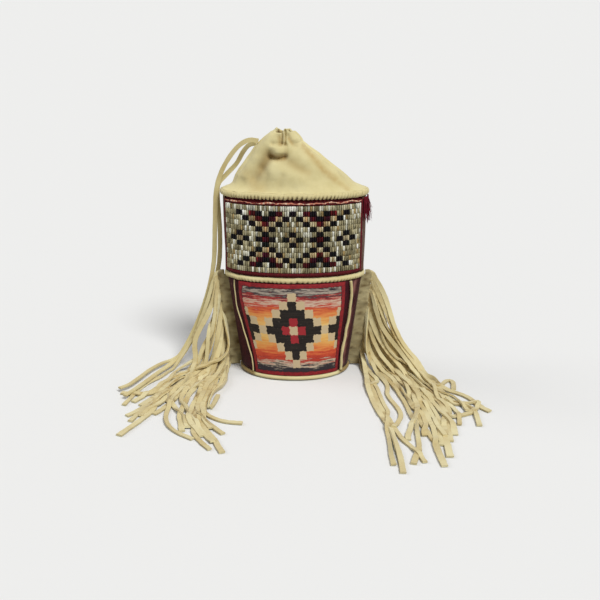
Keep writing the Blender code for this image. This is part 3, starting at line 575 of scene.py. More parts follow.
lace = {
    "width": 0.0040,
    "thickness": 0.0015,
    "spacing": 0.0028,         # from one section of the strip to the next
    "twist": 0.30,
    "layHeight": 0.030,        # below this height it turns to lie flat, over the next length
    "layOver": 0.022,
    "outer": (
        (-0.0310, 0.0001, 0.2080), (-0.0390, -0.0005, 0.2090), (-0.0480, -0.0005, 0.2040),
        (-0.0570, 0.0000, 0.1930), (-0.0640, 0.0005, 0.1800), (-0.0685, 0.0010, 0.1650),
        (-0.0700, 0.0020, 0.1450), (-0.0710, 0.0030, 0.1250), (-0.0720, 0.0042, 0.1050),
        (-0.0740, 0.0050, 0.0900), (-0.0780, 0.0050, 0.0720), (-0.0860, 0.0040, 0.0480),
        (-0.0960, 0.0018, 0.0260), (-0.1055, -0.0030, 0.0110), (-0.1140, -0.0115, 0.0048),
        (-0.1220, -0.0265, 0.0040), (-0.1290, -0.0440, 0.0040), (-0.1370, -0.0620, 0.0040),
        (-0.1450, -0.0780, 0.0040),
    ),
    "inner": (
        (-0.0333, 0.0059, 0.2048), (-0.0395, 0.0085, 0.2030), (-0.0450, 0.0105, 0.1965),
        (-0.0510, 0.0115, 0.1860), (-0.0600, 0.0105, 0.1765), (-0.0672, 0.0092, 0.1680),
        (-0.0680, 0.0085, 0.1560), (-0.0672, 0.0080, 0.1400), (-0.0668, 0.0080, 0.1250),
        (-0.0672, 0.0084, 0.1080), (-0.0690, 0.0092, 0.0920), (-0.0740, 0.0100, 0.0720),
        (-0.0820, 0.0100, 0.0500), (-0.0915, 0.0088, 0.0300), (-0.1015, 0.0062, 0.0130),
        (-0.1115, 0.0015, 0.0050), (-0.1220, -0.0070, 0.0040), (-0.1310, -0.0225, 0.0040),
        (-0.1380, -0.0400, 0.0040), (-0.1445, -0.0545, 0.0040), (-0.1520, -0.0625, 0.0040),
    ),
}


def smoothRoute(route, spacing):
    points = np.array(route, dtype=float)
    padded = np.vstack((2 * points[0] - points[1], points, 2 * points[-1] - points[-2]))
    dense = []
    for before, start, end, after in zip(padded, padded[1:], padded[2:], padded[3:]):
        for share in np.arange(16) / 16:
            dense.append(0.5 * (2 * start + (end - before) * share
                                + (2 * before - 5 * start + 4 * end - after) * share ** 2
                                + (3 * start - before - 3 * end + after) * share ** 3))
    dense = np.array(dense + [points[-1]])
    run = np.concatenate(([0], np.cumsum(np.linalg.norm(np.diff(dense, axis=0), axis=1))))
    count = max(int(round(run[-1] / spacing)), 2)
    wanted = np.linspace(0, run[-1], count + 1)
    return np.stack([np.interp(wanted, run, dense[:, axis]) for axis in range(3)], axis=1)


def tangents(path):
    ways = np.gradient(path, axis=0)
    return ways / np.linalg.norm(ways, axis=1, keepdims=True)


def unit(vectors):
    return vectors / np.maximum(np.linalg.norm(vectors, axis=-1, keepdims=True), 1e-9)


stripSection = ((1.0, 0.45), (0.93, 1.0), (0.45, 1.06), (-0.45, 1.06), (-0.93, 1.0), (-1.0, 0.45),
                (-1.0, -0.45), (-0.93, -1.0), (-0.45, -0.96), (0.45, -0.96), (0.93, -1.0), (1.0, -0.45))


def stripRings(path, widthWay, width, thickness):
    ahead = tangents(path)
    widthWay = unit(widthWay - ahead * np.sum(widthWay * ahead, axis=1, keepdims=True))
    normal = np.cross(ahead, widthWay)
    rings = []
    for wide, thick in stripSection:
        across = widthWay * (wide * width / 2)[:, None]
        rings.append(path + across + normal * (thick * thickness / 2)[:, None])
    return np.stack(rings, axis=1)


def makeLace(name, route, node, seed, material):
    path = smoothRoute(route, lace["spacing"])
    # It faces the front where it hangs, and lies flat on the floor
    lying = ease((lace["layHeight"] - path[:, 2]) / lace["layOver"])[:, None]
    facing = unit((1 - lying) * np.array((0.10, -1.0, 0.10)) + lying * np.array((0.0, 0.0, 1.0)))
    widthWay = unit(np.cross(tangents(path), facing))
    twist = lace["twist"] * noiseAt(path, 45, seed)[:, None]
    widthWay = unit(widthWay + twist * facing)
    width = lace["width"] * (1 + 0.10 * noiseAt(path, 130, seed + 5))
    thickness = lace["thickness"] * (1 + 0.12 * noiseAt(path, 160, seed + 9))
    rings = stripRings(path, widthWay, width, thickness)
    shade = np.repeat(0.25 + 0.35 * noiseAt(path, 60, seed + 2), len(stripSection))
    made = addMesh(name, rings, ringFaces(len(path), len(stripSection)), material,
                   floats={"markAndShade": np.clip(shade, 0, 1)}, sharp=60)
    finishPiece(made, "buckskin", node)


# The hood

hood = {
    "around": 300,
    "rows": 120,
    "fineRows": 24,            # of the rows, for the foot alone
    "footDrop": 0.7,           # the hood starts this share of the welt's radius below the welt's middle
    # Height above the welt's middle, left edge, right edge and depth of the front, in millimetres
    "profile": (
        (-2.3, -58.3, 58.3, 19.0), (2.0, -56.4, 56.4, 18.9), (4.3, -55.3, 55.6, 18.6),
        (9.3, -52.9, 49.6, 18.0), (14.3, -50.8, 43.4, 17.2), (22.3, -45.0, 33.0, 15.6),
        (30.3, -39.4, 22.3, 14.2), (38.3, -33.0, 11.6, 12.2), (42.8, -28.5, 5.6, 11.1),
        (45.8, -25.6, 4.2, 10.4), (50.3, -20.5, 0.6, 9.4), (54.3, -16.6, -3.0, 9.0),
    ),
    "lipHeight": 51.4,
    # Middle angle, spread in degrees and height of each peak of the lip
    "lipPeaks": ((-62, 10, 4.2), (14, 13, 2.6), (31, 14, 2.8),
                 (150, 25, 1.2), (-140, 22, 1.5), (180, 16, -1.0)),
    "thickness": 1.7,
    # The lip's way into the mouth: shares of the thickness inwards, and how far down
    "mouth": ((0.25, -0.35), (0.75, -0.35), (1.0, 0.1), (1.05, 2.0), (1.7, 9.0)),
    "mouthShade": 0.8,
    "weltGap": 0.25,           # the foot lies this far inside the welt
    "lipRise": 0.10,           # and this far over the outer side of its top
    "flareSide": 5.5,
    "flareFront": 12.0,
    "calmFoot": 13.0,          # folds fade over this height, so that the hood stays inside the welt
    "backFolds": 0.13,         # depth of the gathers at the back, as a share of the hood's size there
    "pullDepth": 1.1,          # small pulls at the stitches, and how high they reach
    "pullHeight": 5.0,
    "hang": 1.4,               # how far the rolls of the front pleat sag
    # Creases pressed into the front: width, depth and the points (across, above the welt) they run through
    "creases": (
        (0.90, 2.2, ((-10.2, 54.0), (-10.3, 48.0), (-10.5, 43.4))),
        (0.90, 2.2, ((-7.6, 54.0), (-7.6, 48.0), (-7.9, 42.8))),
        (2.60, 1.0, ((-13.0, 48.0), (-12.2, 43.5))),
        (2.60, 1.9, ((-4.6, 48.8), (-2.6, 44.8), (1.0, 41.6))),
        (1.80, 1.3, ((-18.6, 42.6), (-13.0, 43.0), (-8.0, 42.4))),
        (2.70, 3.0, ((-21.0, 33.0), (-15.0, 31.6), (-8.8, 32.6))),
        (1.60, 1.2, ((-7.0, 41.5), (-6.9, 37.0), (-7.6, 32.6))),
        (4.00, 1.7, ((-21.0, 34.5), (-24.5, 29.5), (-28.0, 24.0))),
        (4.60, 1.5, ((-23.5, 30.5), (-28.5, 22.5), (-33.0, 15.0))),
        (5.00, 0.9, ((-29.0, 21.0), (-34.0, 12.5), (-38.5, 3.0))),
        (3.60, 1.0, ((-24.0, 17.0), (-25.5, 9.0))),
        (4.80, 1.5, ((-7.5, 29.5), (-1.5, 26.0), (6.0, 21.5))),
        (2.00, 0.8, ((39.0, 17.0), (44.0, 12.0), (48.0, 7.0))),
        (2.60, 0.8, ((-10.0, 16.0), (-12.5, 9.0), (-14.0, 4.0))),
    ),
    # Ridges that stand out: width, height and points
    "ridges": (
        (0.75, 0.8, ((-9.0, 52.0), (-9.1, 47.0), (-9.2, 43.5))),
        (4.20, 1.6, ((-19.5, 49.0), (-27.0, 38.0), (-35.0, 27.0), (-42.0, 15.0))),
        (3.00, 0.8, ((-2.4, 53.0), (1.0, 48.5), (6.0, 42.0))),
        (5.50, 0.8, ((3.0, 42.0), (20.0, 28.0), (38.0, 15.0))),
        (9.00, 2.8, ((-17.0, 20.0), (-8.0, 17.0), (3.0, 13.0))),
    ),
    # Rolls of the pleat that the drawstring pulls up: middle, half width, half height and rise
    "rolls": ((-13.8, 38.0, 6.8, 3.9, 3.6), (-12.0, 35.4, 4.6, 2.6, 1.2)),
    # Tan marks: spread, strength and points. The first three are stains; the other five are painted shade,
    # down the valley, beside the slit, under the pleat's rolls and right of them
    "marksAndShade": (
        (2.6, 0.62, ((7, 39.7), (15, 31), (25, 20), (35, 12))),
        (2.0, 0.40, ((33, 13), (40, 8), (46, 4))),
        (5.5, 0.34, ((-40, 16), (-34, 9), (-29, 5))),
        # painted shade from here on
        (4.2, 0.42, ((-21.5, 35), (-25.5, 28), (-31.0, 18))),
        (1.9, 0.60, ((-12.6, 48.0), (-11.8, 43.0))),
        (1.5, 0.55, ((-4.4, 47.0), (-1.6, 43.0))),
        (2.8, 0.85, ((-21.0, 33.0), (-15.0, 31.8), (-9.0, 32.6))),
        (3.4, 0.30, ((-3, 28), (4, 23), (12, 19))),
    ),
}


def strokeWeight(across, above, spread, points):
    best = np.full(across.shape, 1e9)
    points = np.array(points, dtype=float)
    for start, end in zip(points, points[1:]):
        along = end - start
        share = ((across - start[0]) * along[0] + (above - start[1]) * along[1]) / np.dot(along, along)
        share = np.clip(share, 0, 1)
        distance = np.hypot(across - start[0] - share * along[0], above - start[1] - share * along[1])
        best = np.minimum(best, distance)
    return np.exp(-(best / spread) ** 2)


def hoodHeights(angles, foot, radius):
    lip = np.full(len(angles), hood["lipHeight"])
    for middle, spread, rise in hood["lipPeaks"]:
        offset = (np.degrees(angles) - middle + 180) % 360 - 180
        lip = lip + rise * np.exp(-(offset / spread) ** 2)
    fine = (1.25 * radius - foot) / (hood["lipHeight"] - foot)
    fineRows = hood["fineRows"]
    shares = np.concatenate((np.linspace(0, fine, fineRows, endpoint=False),
                             np.linspace(fine, 1, hood["rows"] + 1 - fineRows)))
    return foot + (lip[None, :] - foot) * shares[:, None]


def hoodSides(above, radius):
    # The left and right edges and the depth, which flare at the foot to lie over the welt
    table = np.array(hood["profile"])
    left, right, deep = (np.interp(above, table[:, 0], table[:, column]) for column in (1, 2, 3))
    weltSide, weltFront = (rimHalf - clothThickness) / mm + radius
    half = np.sqrt(np.clip(radius ** 2 - above ** 2, 0, None))
    inside = mix(half + hood["weltGap"], -half - hood["lipRise"], ease((above / radius - 0.72) / 0.06))
    height = np.clip(above - 0.97 * radius, 0, None)
    flareSide = (1 - np.clip(height / hood["flareSide"], 0, 1)) ** 2.4
    flareFront = (1 - np.clip(height / hood["flareFront"], 0, 1)) ** 2.2
    left = mix(left, inside - weltSide, flareSide)
    right = mix(right, weltSide - inside, flareSide)
    return left, right, mix(deep, weltFront - inside, flareFront), flareSide


def hoodGrid(angles, above, foot, left, right, deep):
    rise = np.clip((above - foot) / (hood["lipHeight"] - foot), 0, 1)
    back = ease((np.abs(angles) - math.radians(62)) / math.radians(34))
    fold = back * hood["backFolds"] * rise ** 1.6
    pleat = 1 + fold * (np.cos(11 * angles + 0.8 * np.sin(2 * angles)) + 0.5 * np.cos(17 * angles + 2.0))
    pleat = pleat + 0.02 * rise ** 2 * np.cos(9 * angles + 1.0)
    halfWidth, shift = (right - left) / 2 * pleat, (right + left) / 2
    power = 2 / mix(ovalPower, 2.0, rise)
    side, front = np.sin(angles), np.cos(angles)
    x = shift + halfWidth * np.sign(side) * np.abs(side) ** power
    y = -deep * pleat * np.sign(front) * np.abs(front) ** power
    return np.stack((x, y, above), axis=-1)


def hoodRelief(grid, angles, foot):
    x, above = grid[..., 0], grid[..., 2]
    isFront = ease((np.cos(angles) - 0.05) / 0.25)
    press, markAndShade, hang = (np.zeros(above.shape) for _ in range(3))
    for spread, depth, points in hood["creases"]:
        press = press + depth * strokeWeight(x, above, spread, points) * isFront
    # Painted shade: the deeper the creases press in, the darker the leather is painted
    creaseShade = np.clip(press / 5.2, 0, 1) ** 1.15
    for spread, height, points in hood["ridges"]:
        press = press - height * strokeWeight(x, above, spread, points) * isFront
    # Real stains, and painted shade in the valley, beside the slit and under the pleat
    for spread, strength, points in hood["marksAndShade"]:
        markAndShade = np.maximum(markAndShade, strength * strokeWeight(x, above, spread, points) * isFront)
    for middleX, middleZ, wide, tall, stand in hood["rolls"]:
        away = np.abs((x - middleX) / wide) ** 2.6 + np.abs((above - middleZ) / tall) ** 2.4
        roll = np.exp(-away) * isFront
        press = press - stand * roll
        hang = np.maximum(hang, roll * ease((middleZ + 1.5 - above) / 4))
    flat = grid.reshape(-1, 3)
    soft = noiseAt(flat, 0.055) * 0.75 + noiseAt(flat, 0.16, 3.0) * 0.32
    press = (press - soft.reshape(above.shape)) * ease((above - foot) / hood["calmFoot"])
    pulls = hood["pullDepth"] * np.abs(noiseAt(16 * circle(angles), 1.0, 8.0))
    press = press + pulls[None, :] * np.exp(-np.clip(above, 0, None) / hood["pullHeight"])
    return press, hang, creaseShade, markAndShade


def hoodMouth(lipRing):
    centre = lipRing.mean(axis=0)[:2]
    way = lipRing[:, :2] - centre
    size = np.linalg.norm(way, axis=1, keepdims=True)
    rings = []
    for inward, sink in hood["mouth"]:
        ring = lipRing.copy()
        ring[:, :2] = centre + way / size * np.maximum(size - inward * hood["thickness"], 0.8)
        ring[:, 2] -= sink
        rings.append(ring)
    return rings


def makeHood(material):
    angles = np.linspace(-math.pi, math.pi, hood["around"], endpoint=False)
    radius = rimRadius * welts["rim"]["share"] / mm
    foot = -hood["footDrop"] * rimRadius / mm
    above = hoodHeights(angles, foot, radius)
    left, right, deep, flare = hoodSides(above, radius)
    grid = hoodGrid(angles, above, foot, left, right, deep)
    press, hang, creaseShade, markAndShade = hoodRelief(grid, angles, foot)
    aroundWay = np.roll(grid, -1, axis=1) - np.roll(grid, 1, axis=1)
    normal = unit(np.cross(aroundWay, np.gradient(grid, axis=0)))
    grid = grid - normal * press[..., None]
    grid[..., 2] -= hood["hang"] * hang
    grid[..., 2] += weltWave(angles, welts["rim"])[None, :] / mm * flare
    lower = []
    for height in (pouchFoot, waistHeight):
        ring = wallPoint(angles, np.full(len(angles), height), -(clothThickness + gap)) / mm
        ring[:, 2] -= rimHeight / mm
        lower.append(ring)
    rings = lower + list(grid) + hoodMouth(grid[-1])
    points = np.array(rings) * mm
    points[..., 2] += rimHeight
    floats = {"crease": np.zeros((len(rings), len(angles))), "markAndShade": np.zeros((len(rings), len(angles)))}
    floats["crease"][len(lower):len(lower) + len(grid)] = creaseShade
    floats["crease"][-2:] = hood["mouthShade"]
    floats["markAndShade"][len(lower):len(lower) + len(grid)] = markAndShade
    made = addMesh("hoodLeather", points, ringFaces(len(rings), len(angles)), material, floats=floats)
    finishPiece(made, "buckskin", "pouch_body")


# Rolled welts

welts = {
    "rim": {
        "share": 0.92,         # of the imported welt's radius, which leaves room for the stitches
        "steps": 864,
        "sides": 18,
        "stitches": 108,
        "pinch": 0.50,         # how far each stitch draws the underside in, as a share of the radius
        "waver": 0.0006,
        "seed": 1.0,
    },
    "waist": {
        "share": 0.95,
        "steps": 768,
        "sides": 16,
        "stitches": 96,
        "pinch": 0.38,
        "waver": 0.0006,
        "seed": 4.0,
    },
    "threadWidth": 0.00092,
    "threadThickness": 0.00034,
    "threadStart": 40,         # degrees up from the front of the welt
    "threadEnd": -104,
    "threadLean": 0.16,
}


def weltWave(angles, welt):
    ways, waver, seed = circle(angles), welt["waver"], welt["seed"]
    return waver * noiseAt(ways, 5.0, seed) + 0.4 * waver * noiseAt(ways, 14.0, seed + 3)


def makeWelt(name, node, height, packedRadius, welt, material):
    radius, steps, sides, seed = packedRadius * welt["share"], welt["steps"], welt["sides"], welt["seed"]
    angles = np.linspace(0, math.tau, steps, endpoint=False)
    halfWidth, halfDepth = wallHalf(height)
    ways, wave = circle(angles), weltWave(angles, welt)
    strength = 1 + 0.8 * noiseAt(ways, 26.0, seed + 6)
    bead = np.abs(np.cos(angles * welt["stitches"] / 2 + 1.5 * noiseAt(ways, 4.0, seed + 9))) ** 0.6
    swell = 1 + 0.05 * noiseAt(ways, 11, seed + 1)
    rings, crease = [], []
    for turn in np.linspace(0, math.tau, sides, endpoint=False):
        under = ease((0.35 - math.sin(turn)) / 1.1)
        local = radius * (1 - welt["pinch"] * strength * (1 - bead) * under) * swell
        offset = radius - clothThickness + local * math.cos(turn)
        x, y = ovalXY(halfWidth + offset, halfDepth + offset, angles)
        rings.append(np.stack((x, y, height + wave + local * math.sin(turn)), axis=1))
        # Painted shade in the notches that the stitches draw into the welt's underside
        crease.append((1 - bead) * under)
    crease = np.stack(crease, axis=1)
    made = addMesh(name, np.stack(rings, axis=1), ringFaces(steps, sides, loop=True), material,
                   floats={"crease": np.clip(0.9 * crease, 0, 1), "markAndShade": 0.10 + 0 * crease})
    finishPiece(made, "buckskin", node)


def stitchPiece(radius):
    sides, steps = 6, 9
    rings = []
    for step in range(steps):
        turn = math.radians(mix(welts["threadStart"], welts["threadEnd"], step / (steps - 1)))
        taper = 1 - 0.35 * abs(2 * step / (steps - 1) - 1) ** 3
        outWay = np.array((0.0, -math.cos(turn), math.sin(turn)))
        ring = []
        for side in range(sides):
            spin = math.tau * side / sides
            ring.append(outWay * radius + outWay * welts["threadThickness"] * taper * math.sin(spin)
                        + np.array((1.0, 0, 0)) * welts["threadWidth"] * taper * math.cos(spin))
        rings.append(ring)
    return addObject("stitch", closedMesh("stitch", rings, ringFaces(steps, sides)))


def makeStitches(name, height, packedRadius, welt, material):
    radius, count = packedRadius * welt["share"], welt["stitches"]
    angles = np.linspace(0, math.tau, count, endpoint=False)
    halves = np.array(wallHalf(height)) - clothThickness + radius
    x, y = ovalXY(*halves, angles)
    nextX, nextY = ovalXY(*halves, angles + 0.01)
    lastX, lastY = ovalXY(*halves, angles - 0.01)
    spin = np.arctan2(nextY - lastY, nextX - lastX)
    points = np.stack((x, y, np.full(count, height)), axis=1)
    turns = np.stack((0 * spin, welts["threadLean"] + 0 * spin, spin), axis=1)
    made = repeat(name, points, turns, stitchPiece(radius), material, shift=0.00012, lean=0.10,
                  grow=0.05, seed=3, floats={"markAndShade": np.full(count, 0.12)})
    finishPiece(made, "buckskin")


# Cloths and bindings

tube = {
    "around": 260,
    "rows": 24,
    "innerRows": 3,
    "wornInset": 0.0060,       # a worn stripe of the cloth runs this far in from its right edge
    "wornWidth": 0.0016,
}


def makeTube(name, node, low, high, material, wear=0.0):
    around = tube["around"]
    angles = np.linspace(0, math.tau, around, endpoint=False)
    rings = [wallPoint(angles, np.full(around, height), 0.0)
             for height in np.linspace(low, high, tube["rows"])]
    rings += [wallPoint(angles, np.full(around, height), -clothThickness)
              for height in np.linspace(high, low, tube["innerRows"])]
    points = np.stack(rings, axis=0)
    flat = points.reshape(-1, 3)
    beside = (flat[:, 0] - wallHalf(flat[:, 2])[0] + tube["wornInset"]) / tube["wornWidth"]
    worn = wear * (np.exp(-beside ** 2) * (flat[:, 1] < 0))
    worn = worn * np.clip(0.5 + 2.2 * noiseAt(flat, 150, 3.0), 0, 1)
    made = addMesh(name, points, ringFaces(len(points), around, loop=True), material, floats={"markAndShade": worn})
    finishPiece(made, "maroon_cloth", node)


def patchGrid(place, columns, rows, inner, outer):
    u, v = np.meshgrid(np.linspace(0, 1, columns + 1), np.linspace(0, 1, rows + 1))
    points = np.concatenate((place(u, v, outer).reshape(-1, 3), place(u, v, inner).reshape(-1, 3)))
    wide, size = columns + 1, (columns + 1) * (rows + 1)
    faces = []
    for row in range(rows):
        for column in range(columns):
            spot = row * wide + column
            faces.append((spot, spot + 1, spot + wide + 1, spot + wide))
            faces.append((size + spot, size + spot + wide, size + spot + wide + 1, size + spot + 1))
    edge = list(range(columns))
    edge += [row * wide + columns for row in range(rows)]
    edge += [rows * wide + column for column in range(columns, 0, -1)]
    edge += [row * wide for row in range(rows, 0, -1)]
    for here, after in zip(edge, edge[1:] + edge[:1]):
        faces.append((size + here, size + after, after, here))
    return points, faces


def patchUV(columns, rows):
    u, v = np.meshgrid(np.linspace(0, 1, columns + 1), np.linspace(0, 1, rows + 1))
    return np.concatenate((np.stack((u, v), axis=-1).reshape(-1, 2),) * 2)


# The band of beads

band = {
    "rows": 13,
    "columns": 21,
    "beadsPerCell": 3,
    "cellWidth": 0.00568,
    "rowHeight": 0.00450,
    "frontShift": -0.0016,     # the front panel is sewn on this far to the left
    "panelGap": 0.0006,
    "backing": 0.0006,
    "beadRadius": 0.00093,
    "beadLength": 0.00430,
    "beadSides": 8,
    "bindingWidth": 0.0026,
    "bindingThickness": 0.0019,
    "ribbonThickness": 0.0010,
    "chart": (
        "...........",
        "K.RK.KR.K..",
        ".KTRKRTK...",
        "..KTRTK....",
        "...KTK.....",
        "K...K...K..",
        "TK.KRK.KTK.",
    ),
    "colours": {
        # The ground's third, pale colour is a painted highlight, the gleam of silver-lined beads
        ".": ((0.31, 0.27, 0.15), (0.44, 0.40, 0.25), (0.80, 0.79, 0.64), (0.34, 0.24, 0.10)),
        "K": ((0.003, 0.002, 0.003), (0.006, 0.003, 0.006), (0.004, 0.006, 0.005), (0.012, 0.009, 0.010)),
        "R": ((0.062, 0.004, 0.006), (0.044, 0.003, 0.012), (0.125, 0.008, 0.010), (0.074, 0.013, 0.008)),
        "T": ((0.44, 0.34, 0.18), (0.53, 0.45, 0.27), (0.50, 0.31, 0.14), (0.70, 0.64, 0.44)),
    },
    "shares": (0.47, 0.26, 0.20, 0.07),    # of a mark's four colours among its beads
    "topShares": ((0.20, 0.24, 0.52, 0.04), (0.40, 0.30, 0.26, 0.04)),     # the front's top rows get more of the pale beads, a painted highlight along the top
    "tintRange": (0.55, 1.42),
}
bandBottom, bandTop = bandLow[2], bandHigh[2]
bandMiddle = (bandBottom + bandTop) / 2
panelHalfHeight = band["rows"] * band["rowHeight"] / 2
panelHalfArc = band["columns"] * band["cellWidth"] / 2


def beadPiece():
    radius, half, sides = band["beadRadius"], band["beadLength"] / 2, band["beadSides"]
    profile = ((-0.84, 0.42), (-1.0, 0.50), (-1.0, 0.86), (-0.93, 1.0),
               (0.93, 1.0), (1.0, 0.86), (1.0, 0.50), (0.84, 0.42))
    rings = []
    for along, wide in profile:
        rings.append([(radius * wide * math.cos(math.tau * side / sides),
                       radius * wide * math.sin(math.tau * side / sides), half * along)
                      for side in range(sides)])
    return addObject("bead", closedMesh("bead", rings, ringFaces(len(profile), sides)))


def beadMark(column, row):
    line = band["chart"][min(row, band["rows"] - 1 - row)]
    fromMiddle = abs(column - (band["columns"] - 1) // 2)
    return line[fromMiddle] if fromMiddle < len(line) else "."


def makeBeads(name, node, middle, shift, seed, material, backingMaterial):
    rng = np.random.default_rng(seed)
    perCell, isFront = band["beadsPerCell"], middle == 0.0
    pitch = band["cellWidth"] / perCell
    total = band["columns"] * perCell
    arcs = shift + (np.arange(total) - (total - 1) / 2) * pitch
    angles = middle + angleAt(arcs, bandMiddle)
    ahead = middle + angleAt(arcs + 0.0005, bandMiddle)
    offset = band["panelGap"] + band["backing"] + band["beadRadius"]
    points, turns, tints = [], [], []
    for row in range(band["rows"]):
        height = bandMiddle + ((band["rows"] - 1) / 2 - row) * band["rowHeight"]
        here = wallPoint(angles, np.full(total, height), offset)
        after = wallPoint(ahead, np.full(total, height), offset)
        spin = np.arctan2(after[:, 1] - here[:, 1], after[:, 0] - here[:, 0])
        for spot in range(total):
            mark = beadMark(spot // perCell, row)
            shares = band["shares"]
            if mark == "." and isFront and row < len(band["topShares"]):
                shares = band["topShares"][row]
            colour = np.array(band["colours"][mark][rng.choice(len(shares), p=shares)])
            colour = np.clip(colour * rng.uniform(*band["tintRange"]), 0, 1)
            points.append(here[spot] + (0, 0, rng.normal(0, 0.00010)))
            turns.append((0.0, 0.0, spin[spot] + rng.uniform(0, math.tau / band["beadSides"])))
            tints.append((*colour, 1))
    beads = repeat(name, points, turns, beadPiece(), material, shift=0.00007, lean=0.022, grow=0.03,
                   seed=seed, colours={"tint": tints})
    finishPiece(beads, "beads", node)

    def place(u, v, offset):
        angle = middle + angleAt(shift + (2 * u - 1) * panelHalfArc, bandMiddle)
        return wallPoint(angle, bandMiddle + (2 * v - 1) * panelHalfHeight, offset)

    points, faces = patchGrid(place, 90, 13, band["panelGap"], band["panelGap"] + band["backing"])
    finishPiece(addMesh(name + "Backing", points, faces, backingMaterial), "beads", node)


def makeBinding(name, node, middle, shift, seed, material):
    steps, sides = 90, 10
    arc, rise = panelHalfArc + gap, panelHalfHeight + gap
    width, thick = band["bindingWidth"], band["bindingThickness"]
    corners = ((-1, 1), (1, 1), (1, -1), (-1, -1))
    shares = []
    for start, end in zip(corners, corners[1:] + corners[:1]):
        count = steps if start[1] == end[1] else steps // 2
        for step in range(count):
            share = step / count
            shares.append((mix(start[0], end[0], share), mix(start[1], end[1], share)))
    inner = np.array(shares) * (arc, rise)
    outer = np.array(shares) * (arc + width, rise + width)
    middleLine, halfWay = (inner + outer) / 2, (outer - inner) / 2
    waver = noiseAt(np.column_stack((middleLine * 90, 0 * middleLine[:, 0])), 1.0, seed)
    rings = []
    for side in range(sides):
        turn = math.tau * (side + 0.5) / sides
        wide, tall = blunt(math.cos(turn), 0.6), blunt(math.sin(turn), 0.6)
        spot = middleLine + halfWay * wide
        top = (0.5 + 0.5 * tall) * thick * (1 + 0.16 * waver * (tall > 0))
        angle = middle + angleAt(shift + spot[:, 0], bandMiddle)
        rings.append(wallPoint(angle, bandMiddle + spot[:, 1], band["panelGap"] + top))
    made = addMesh(name, np.stack(rings, axis=1), ringFaces(len(inner), sides, loop=True), material)
    finishPiece(made, "maroon_cloth", node)


selvage = {
    "rise": 0.0023,            # above the top row of beads
    "radius": 0.00052,
    "steps": 260,
    "sides": 6,
    "slowWave": 0.0010,
    "quickWave": 0.0006,
    "standoff": 0.0001,
}


def makeSelvage(name, middle, shift, seed, material):
    steps, sides = selvage["steps"], selvage["sides"]
    along = np.linspace(shift - panelHalfArc, shift + panelHalfArc, steps)
    angle = middle + angleAt(along, bandMiddle)
    line = np.column_stack((along * 260, 0 * along, 0 * along))
    wave = selvage["slowWave"] * noiseAt(line, 0.45, seed)
    wave = wave + selvage["quickWave"] * noiseAt(line, 1.3, seed + 2)
    height = bandMiddle + panelHalfHeight + selvage["rise"] + wave
    stand = band["panelGap"] + band["bindingThickness"] + selvage["standoff"]
    stand = stand + 0.0003 * noiseAt(line, 1.7, seed + 4)
    radius = selvage["radius"] * np.clip(1 + 1.5 * noiseAt(line, 1.1, seed + 6), 0.15, 1.6)
    rings = []
    for side in range(sides):
        turn = math.tau * side / sides
        rings.append(wallPoint(angle, height + radius * math.sin(turn), stand + radius * math.cos(turn)))
    made = addMesh(name, np.stack(rings, axis=1), ringFaces(steps, sides), material)
    finishPiece(made, "brocade")


def makeRibbon(name, node, side, material):
    reach = panelHalfArc + gap + band["bindingWidth"] + gap
    frontEdge = float(angleAt(reach + side * band["frontShift"], bandMiddle))
    backEdge = math.pi - float(angleAt(reach, bandMiddle))
    low, high = bandBottom + gap, bandTop - gap

    def place(u, v, offset):
        ripple = 0.0003 * np.sin(9 * u + 6 * v) * (offset > band["panelGap"])
        return wallPoint(side * mix(frontEdge, backEdge, u), mix(low, high, v), offset + ripple)

    points, faces = patchGrid(place, 16, 40, band["panelGap"], band["panelGap"] + band["ribbonThickness"])
    finishPiece(addMesh(name, points, faces, material), "brocade", node)


# The frayed edge of the band's cloth

fray = {
    "width": 0.0122,
    "length": 0.0255,
    "strands": 110,
    "strandRadius": 0.00020,
    "strandBend": 0.0009,
    "strandLift": 0.0008,
    "strandStand": 0.0042,     # how far a strand's tip may stand off the bag
    "clothThickness": 0.0004,
    "seed": 11,
}


def makeFray(material):
    rng = np.random.default_rng(fray["seed"])
    inner = band["panelGap"] + band["bindingThickness"] + gap
    start = band["frontShift"] + panelHalfArc + band["bindingWidth"]
    points, faces = [], []
    sides, steps = 5, 12
    for number in range(fray["strands"]):
        spot = (number + rng.uniform(0.1, 0.9)) / fray["strands"]
        tuft = abs(math.sin(9.0 * spot + 0.6)) ** 0.7
        length = fray["length"] * (0.30 + 0.68 * tuft) * rng.uniform(0.75, 1.0)
        lift = rng.uniform(0.0, fray["strandLift"])
        bend = rng.normal(0, fray["strandBend"])
        stand = rng.uniform(0, 1) ** 2 * fray["strandStand"]
        first = len(points)
        for step in range(steps):
            share = step / (steps - 1)
            height = bandTop - gap - length * share
            angle = float(angleAt(start + (fray["width"] * spot + bend * share ** 2), bandMiddle))
            radius = fray["strandRadius"] * (1 - 0.55 * share)
            offset = inner + radius + lift + 0.0004 * math.sin(3 * share + number) * share
            offset += stand * share ** 1.5
            for side in range(sides):
                turn = math.tau * side / sides
                sideways = radius * math.sin(turn) / 0.05
                points.append(wallPoint(angle + sideways, height, offset + radius * math.cos(turn)))
        faces += ringFaces(steps, sides, first=first)
    made = addMesh("clothFrayStrands", np.array(points), faces, material)
    finishPiece(made, "maroon_cloth", "cloth_fray")

    def place(u, v, offset):
        drop = 0.72 * fray["length"] * (0.32 + 0.60 * np.abs(np.sin(9.0 * u + 0.6)) ** 0.7)
        angle = angleAt(start + fray["width"] * u, bandMiddle)
        ripple = 0.0002 * np.sin(22 * u) * (1 - v)
        return wallPoint(angle, bandTop - gap - drop * (1 - v), offset + ripple)

    points, faces = patchGrid(place, 48, 16, inner, inner + fray["clothThickness"])
    finishPiece(addMesh("clothFray", points, faces, material), "maroon_cloth", "cloth_fray")


# The painted panel

